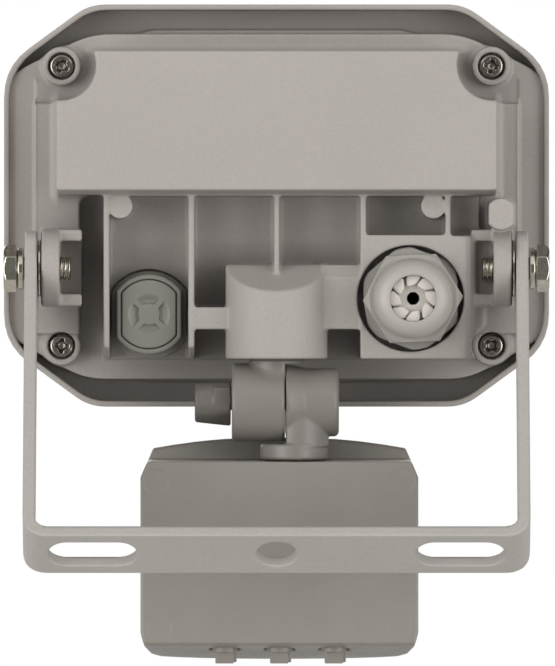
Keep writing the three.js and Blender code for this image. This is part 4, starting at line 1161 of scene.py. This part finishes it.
def make_floor():
    mesh = bpy.data.meshes.new("studio_floor")
    level = cad_box[0].z - 0.22
    reach = 0.7
    turns = ((-1, -1), (1, -1), (1, 1), (-1, 1))
    corners = [(x * reach, y * reach, level) for x, y in turns]
    mesh.from_pydata(corners, [], [(0, 1, 2, 3)])
    floor = bpy.data.objects.new("studio_floor", mesh)
    bpy.context.scene.collection.objects.link(floor)
    paint = Paint("floor_paper", colour(236, 235, 232), 0.9)
    paint.shade(colour(236, 235, 232), paint.spread(paint.noise(3.0, 3.0), 0.985, 1.015))
    mesh.materials.append(paint.material)


def make_light(name, place, size, watts):
    light = bpy.data.lights.new(name, "AREA")
    light.shape = "RECTANGLE"
    light.size, light.size_y = size
    light.energy = watts
    lamp = bpy.data.objects.new(name, light)
    target = (cad_box[0] + cad_box[1]) / 2
    lamp.location = target + Vector(place)
    lamp.rotation_euler = Vector(place).to_track_quat("Z", "Y").to_euler()
    bpy.context.scene.collection.objects.link(lamp)


PANELS = 5.4
ROOM = 0.7


def make_studio():
    """White to the camera; for the object, a pale room that is dark round the camera itself."""
    world = bpy.data.worlds.new("studio")
    bpy.context.scene.world = world
    world.use_nodes = True
    tree = world.node_tree
    tree.nodes.clear()

    node = partial(add_node, tree)
    place = node("ShaderNodeTexCoord").outputs["Generated"]
    parts = node("ShaderNodeSeparateXYZ", {"Vector": place})
    x, y, z = (parts.outputs[axis] for axis in "XYZ")

    def ramp(value, start, end, low, high, kind="LINEAR"):
        ends = {"Value": value, "From Min": start, "From Max": end, "To Min": low, "To Max": high}
        return node("ShaderNodeMapRange", ends, interpolation_type=kind).outputs["Result"]

    def times(a, b):
        return node("ShaderNodeMath", {0: a, 1: b}, operation="MULTIPLY").outputs["Value"]

    strength = ramp(y, 0.15, 0.45, ROOM, PANELS, "SMOOTHSTEP")
    for factor in (
        ramp(y, 0.8, 0.95, 1.0, 0.04, "SMOOTHSTEP"),
        ramp(z, -0.7, 0.0, 0.2, 1.0),
        ramp(z, 0.05, 0.6, 1.0, 0.16),
        ramp(x, -0.8, 0.8, 0.94, 1.06),
    ):
        strength = times(strength, factor)
    seen = node("ShaderNodeBackground", {"Color": (1, 1, 1, 1), "Strength": 1.0})
    lighting = node("ShaderNodeBackground", {"Color": (1.0, 0.99, 0.975, 1), "Strength": strength})
    inputs = {"Fac": node("ShaderNodeLightPath").outputs["Is Camera Ray"]}
    inputs |= {1: lighting.outputs["Background"], 2: seen.outputs["Background"]}
    mix = node("ShaderNodeMixShader", inputs)
    node("ShaderNodeOutputWorld", {"Surface": mix.outputs["Shader"]})
    make_light("front_fill", (0.2, -1.6, 0.7), (1.4, 1.0), 12)
    bpy.context.scene.view_settings.view_transform = "Standard"


def make_camera():
    data = bpy.data.cameras.new("camera")
    camera = bpy.data.objects.new("camera", data)
    distance = 5.5
    image_height = 0.1624
    data.sensor_width = 36
    data.lens = data.sensor_width * distance / image_height
    data.clip_start, data.clip_end = 0.1, 40
    aim_x, aim_y, aim_z = -0.00024, PIVOT.y - 0.005, PIVOT.z - 0.0157
    camera.location = (aim_x, aim_y + distance, aim_z)
    camera.rotation_euler = (math.pi / 2, 0, math.pi)
    bpy.context.scene.collection.objects.link(camera)
    bpy.context.scene.camera = camera


# ---- everything

make_camera()
make_studio()
make_floor()
paint_kept_nodes()
make_casting()
make_front_frame()
make_bracket()
make_pivot_bolts()
make_corner_screws()
make_gland()
make_vent()
make_pan_knuckle()
make_tilt_knuckle()
make_clamp_knob()
make_hinge_screw()
make_head_shell()
make_head_cover()
make_detector_lens()
make_camera_window()
make_setting_knobs()
